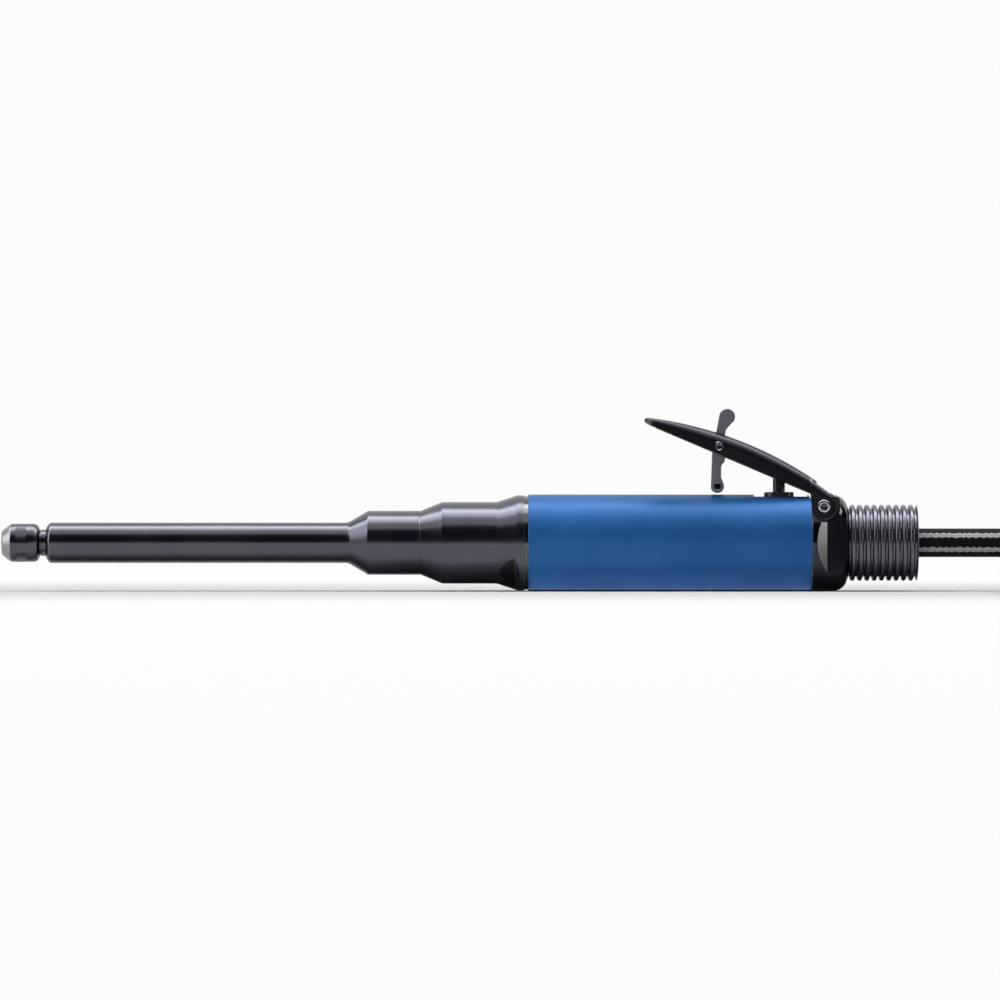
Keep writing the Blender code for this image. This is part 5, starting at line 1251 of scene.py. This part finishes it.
# %% Make the plug and its ferrule
plug_way = coil_way(COIL_TURNS)
AT_PLUG = Matrix.Translation(coil_end) @ Matrix.Rotation(math.atan2(plug_way.y, plug_way.x), 4, "Z")
FERRULE_R = 0.0070
FERRULE_END = 0.0183
GROOVES = (0.0042, 0.0091, 0.0140)
GROOVE_R = FERRULE_R - 0.0007
ferrule_outline = [(SEAT_GAP, 0.0), (SEAT_GAP, FERRULE_R, 0.0004)]
for groove in GROOVES:
    ferrule_outline += [(groove - 0.0013, FERRULE_R, 0.0003), (groove - 0.0006, GROOVE_R, 0.0003),
                        (groove + 0.0006, GROOVE_R, 0.0003), (groove + 0.0013, FERRULE_R, 0.0003)]
ferrule_outline += [(FERRULE_END, FERRULE_R, 0.0004), (FERRULE_END, 0.0)]
ferrule = turned("crimped_ferrule", ferrule_outline, AT_PLUG, 80)
dress(ferrule, "tool_body", PIN_STEEL, "spindle_steel", "plug_ferrule")
PLUG_FRONT = FERRULE_END + SEAT_GAP
PLUG_REAR = PLUG_FRONT + 0.0310
PLUG_BORE_R, PLUG_R, PLUG_RING_R = 0.0028, 0.0045, 0.0059
HEXAGON_REAR, HEXAGON_R, HEXAGON_HALF = PLUG_FRONT + 0.0080, 0.0065, 0.0060
plug = turned("quick_plug", [
    (PLUG_FRONT, PLUG_BORE_R), (PLUG_FRONT, HEXAGON_R, 0.0004), (HEXAGON_REAR, HEXAGON_R, 0.0005),
    (HEXAGON_REAR, PLUG_R, 0.0003), (PLUG_FRONT + 0.01375, PLUG_R, 0.0006),
    (PLUG_FRONT + 0.0166, PLUG_RING_R, 0.0005), (PLUG_FRONT + 0.0206, PLUG_RING_R, 0.0005),
    (PLUG_FRONT + 0.0235, PLUG_R, 0.0006), (PLUG_REAR, PLUG_R, 0.0008), (PLUG_REAR, PLUG_BORE_R)],
    AT_PLUG, 80)
hexagon_side = oblong(PLUG_FRONT - 0.001, HEXAGON_REAR + 0.0002, HEXAGON_HALF, MILL_REACH)
facings = [AT_PLUG @ Matrix.Rotation(math.pi / 3 * index, 4, "X") for index in range(6)]
machine(plug, *[prism("spanner_flat", hexagon_side, -MILL_REACH, MILL_REACH, facing)
                for facing in facings])
dress(plug, "tool_body", PIN_STEEL, "spindle_steel", "air_plug")

# %% Make the strap round the coil
TIE_HALF = 0.0050
TIE_SLACK = 0.0005
TIE_THICKNESS = 0.0009
TIE_TURN = 0.5 - 0.5 / 24


def strap():
    """A band pulled round all the hose's crossings at one side of the coil."""
    centre = Vector((COIL_X, -COIL_RADIUS, 0.0))
    crossings = []
    for turn in range(int(COIL_TURNS - TIE_TURN) + 1):
        spot = coil_point(turn + TIE_TURN) - centre
        crossings.append(Vector((spot.xy.length, spot.z)))
    turned_to = Matrix.Rotation(math.pi / 2 - 2 * math.pi * TIE_TURN, 4, "Z")
    place = Matrix.Translation(centre) @ turned_to
    inner = HOSE_DIAMETER / 2 + TIE_SLACK
    section = oblong(inner, inner + TIE_THICKNESS, -TIE_HALF, TIE_HALF)
    bm = bmesh.new()
    rings = []
    for angle in turn_angles(120):
        way = Vector((math.cos(angle), math.sin(angle)))
        held = max(crossings, key=way.dot)
        spots = [(held + way * reach, side) for reach, side in section]
        rings.append([bm.verts.new(place @ Vector((spot.x, side, spot.y))) for spot, side in spots])
    for ring, after in zip(rings, rings[1:] + rings[:1]):
        bridge(bm, ring, after)
    return as_piece("strap", bm)


def webbing():
    finish = Finish("webbing", grey(0.02), {"Metallic": 0.0})
    ribs = finish.place.noise(1500.0)
    fluff = finish.place.noise(4000.0, 3.0)
    finish.vary("Base Color", (ribs * 0.5 + fluff * 0.5).mix(grey(0.010), grey(0.035)))
    finish.vary("Roughness", 0.75 + (fluff - 0.5) * 0.2)
    finish.bump(ribs * 0.5 + fluff * 0.5, 0.0002, 0.7)
    return finish.material


WEBBING = webbing()
tie = strap()
dress(tie, "tool_body", WEBBING, "tie_strap", "hose_tie")

# %% [markdown]
# ## Spindle nose and collet
# Between the nut and the neck a short stretch of the spindle shows, with two small flats that hold
# it while the nut is turned. Inside the nut sits the collet, split three ways so that it can close.

# %% Make the spindle and the collet
NECK_R = 0.0055
SHAFT_R = 0.0030
THREAD_R = 0.0048
NECK_FRONT = NUT_LENGTH + SEAT_GAP
SPINDLE_FRONT, SPINDLE_REAR = ends("spindle")
COLLET_FRONT, COLLET_REAR = ends("collet")
SOCKET_END = COLLET_REAR + 0.0006
spindle = turned("spindle_shaft", [
    (SOCKET_END, 0.0), (SOCKET_END, 0.0037), (SPINDLE_FRONT, 0.0040), (SPINDLE_FRONT, THREAD_R),
    (NECK_FRONT, THREAD_R), (NECK_FRONT, NECK_R, 0.0003), (BEARING_FRONT, NECK_R, 0.0002),
    (BEARING_FRONT, SHAFT_R), (SPINDLE_REAR, SHAFT_R), (SPINDLE_REAR, 0.0)])
NECK_FLAT = 0.0047           # from the axis to a flat
NECK_FLATS_TURN = 150.0      # degrees from facing up
neck_flat = oblong(NUT_LENGTH + 0.0007, NUT_LENGTH + 0.0023, NECK_FLAT, 0.01)
machine(spindle, *[prism("flat", neck_flat, -MILL_REACH, MILL_REACH, about_axis(turn))
                   for turn in (NECK_FLATS_TURN, NECK_FLATS_TURN - 180.0)])
dress(spindle, "spindle", NECK_STEEL, "spindle_steel", "spindle")
COLLET_BORE_R, COLLET_R = 0.0030, 0.0042
COLLET_STEP = COLLET_FRONT + 0.0034
SLIT_HALF, SLIT_LENGTH, SLITS = 0.0004, 0.0090, 3
collet = turned("split_collet", [
    (COLLET_FRONT, COLLET_BORE_R, 0.0002), (COLLET_FRONT, 0.0036), (COLLET_FRONT + 0.0010, COLLET_R),
    (COLLET_STEP, COLLET_R), (COLLET_STEP, 0.0037), (COLLET_REAR, 0.0034),
    (COLLET_REAR, COLLET_BORE_R)], sides=96)
slit = oblong(COLLET_FRONT - 0.01, COLLET_FRONT + SLIT_LENGTH, COLLET_BORE_R / 2, MILL_REACH)
machine(collet, *[prism("slit", slit, -SLIT_HALF, SLIT_HALF, about_axis(60.0 + 360.0 / SLITS * index))
                  for index in range(SLITS)])
dress(collet, "spindle", SPINDLE_STEEL, "spindle_steel", "collet")

# %% [markdown]
# ## Inside the tool
# The motor, bearings and valve parts are closed in, but they get real finishes as well: ground
# bearing steel, machined steel, brass, rubber, and the brown cloth-filled resin of the vanes.

# %% Finish the inner solids


def cast_colour(name, low, high, roughness, metallic, scale):
    """A plain cast, moulded or machined material with a grain of two close colours."""
    finish = Finish(name, low, {"Metallic": metallic})
    grain = finish.place.noise(scale, 3.0)
    finish.vary("Base Color", grain.mix(low, high))
    finish.vary("Roughness", roughness + (grain - 0.5) * 0.2)
    finish.bump(grain, 0.00001, 0.4)
    return finish.material


BRASS = cast_colour("brass", (0.56, 0.36, 0.12, 1.0), (0.72, 0.50, 0.20, 1.0), 0.32, 1.0, 1500.0)
SOFT_RUBBER = cast_colour("soft_rubber", grey(0.012), grey(0.03), 0.6, 0.0, 1200.0)
VANE_RESIN = cast_colour(
    "vane_resin", (0.20, 0.10, 0.05, 1.0), (0.32, 0.19, 0.09, 1.0), 0.65, 0.0, 900.0)
inner_finishes = {
    PIN_STEEL: ["front_bearing", "second_bearing", "tail_bearing", "rotor_front_bearing",
                "rotor_rear_bearing"],
    SPINDLE_STEEL: ["bearing_spacer", "bearing_retainer", "shaft_coupling", "motor_case",
                    "front_end_plate", "rear_end_plate", "motor_cylinder", "rotor", "valve_cap",
                    "hose_ferrule"],
    BRASS: ["valve_seat", "inlet_strainer", "inlet_nipple"],
    SOFT_RUBBER: ["valve_seal"],
    VANE_RESIN: [f"vane_{index}" for index in range(1, 6)],
}
for finish, names in inner_finishes.items():
    for name in names:
        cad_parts[name].data.materials.clear()
        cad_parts[name].data.materials.append(finish)
print("inner solids finished:", sum(len(names) for names in inner_finishes.values()))

# %% [markdown]
# ## Floor, backdrop and light
# The picture is a studio shot on white. One sweep of pale board is floor and backdrop, rounded
# where they meet, and it is tall, so that metal mirrors it right up to the lamps. Its material is
# white to the eye and to mirrors away from the tool, and lit board near it, where the shadow lies.
#
# Two long lamps hang over the tool and draw the bright line high on every round surface. A fainter
# one washes the front, and two panels at the ends light the nose and the run-out of the flats. A low
# lamp stands for the light that a bright floor throws back: mirrors don't show it. A thin strip
# under the sleeve does the same for its lowest part. The world is dim, so dark steel stays dark.

# %% Build the sweep
TOOL_MIDDLE = ((NOSE_X + TAIL_X) / 2, 0.0, AXIS_Z)
TOOL_HALF = (TAIL_X - NOSE_X) / 2


def sweep_profile():
    front, rear, bend, top = -5.0, 6.5, 1.5, 18.0
    floor = [(front, 0.0), (rear - bend, 0.0)]
    corner = arc((rear - bend, bend), bend, -90.0, 0.0, 16)
    return floor + corner + [(rear, top)]


def pale_board():
    finish = Finish("pale_board", grey(0.52), {"Roughness": 0.9, "Specular IOR Level": 0.0})
    flow = finish.flow
    seen = 0.0
    for ray in ("Is Camera Ray", "Is Glossy Ray", "Is Transmission Ray"):
        seen = flow.sum("MAXIMUM", flow.node("ShaderNodeLightPath", output=ray), seen)
    along, across = finish.place.part(0), finish.place.part(1)
    past_end = flow.sum("MAXIMUM", flow.sum("ABSOLUTE", along - TOOL_MIDDLE[0]) - TOOL_HALF, 0.0)
    away = flow.sum("SQRT", past_end * past_end + across * across)
    share = seen * (0.97 * away.ramp(0.02, 0.36))
    white = flow.node("ShaderNodeEmission", None, {"Color": grey(1.0), "Strength": 1.0})
    board = Flow(flow.tree, finish.shader.outputs[0])
    mixed = flow.node("ShaderNodeMixShader", None, {0: share, 1: board, 2: white})
    flow.feed(flow.tree.nodes["Material Output"].inputs["Surface"], mixed)
    return finish.material


SWEEP_HALF_WIDTH = 7.0
bm = bmesh.new()
columns = [[bm.verts.new((x, y, z)) for y, z in sweep_profile()]
           for x in (-SWEEP_HALF_WIDTH, SWEEP_HALF_WIDTH)]
for i in range(len(columns[0]) - 1):
    bm.faces.new((columns[0][i], columns[1][i], columns[1][i + 1], columns[0][i + 1]))
sweep = as_piece("sweep", bm)
sweep.data.materials.append(pale_board())
print("sweep faces:", len(sweep.data.polygons))

# %% Hang the lights


def softbox(name, place, aim, width, height, radiance):
    """An area light with a set brightness, whatever its size."""
    light = bpy.data.lights.new(name, "AREA")
    light.shape = "RECTANGLE"
    light.size = width
    light.size_y = height
    light.energy = radiance * math.pi * width * height
    lamp = bpy.data.objects.new(name, light)
    lamp.location = place
    lamp.rotation_euler = (Vector(aim) - Vector(place)).to_track_quat("-Z", "Y").to_euler()
    lamp.visible_camera = False
    bpy.context.scene.collection.objects.link(lamp)
    return lamp


LONG_LAMP = 2.6              # metres
softbox("overhead", (0.0, 0.24, 1.25), TOOL_MIDDLE, LONG_LAMP, 0.36, 6.4)
softbox("overhead_front", (0.0, -0.10, 1.25), TOOL_MIDDLE, LONG_LAMP, 0.30, 3.4)
softbox("front_wash", (0.0, -0.54, 1.13), TOOL_MIDDLE, LONG_LAMP, 0.56, 0.9)
softbox("left_panel", (-1.6, -0.28, 0.70), TOOL_MIDDLE, 1.1, 1.3, 2.6)
softbox("right_panel", (1.6, -0.15, 0.28), TOOL_MIDDLE, 0.5, 0.5, 4.0)
bounce = softbox("bounce", (0.0, -0.45, 0.06), (0.0, 0.0, 0.0), LONG_LAMP, 0.10, 2.2)
bounce.visible_glossy = False
STRIP_WIDTH = 0.018
sleeve_low, sleeve_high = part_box("grip_sleeve")
under_sleeve = Vector(((sleeve_low.x + sleeve_high.x) / 2, -STRIP_WIDTH / 2, 0.0005))
up = Vector((0.0, 0.0, 1.0))
softbox("under_sleeve", under_sleeve, under_sleeve + up, sleeve_high.x - sleeve_low.x, STRIP_WIDTH, 0.5)
world = bpy.data.worlds.new("dim_room")
world.use_nodes = True
background = world.node_tree.nodes["Background"]
background.inputs["Color"].default_value = grey(1.0, 0.35)
background.inputs["Strength"].default_value = 0.03
bpy.context.scene.world = world
bpy.context.scene.view_settings.view_transform = "Standard"
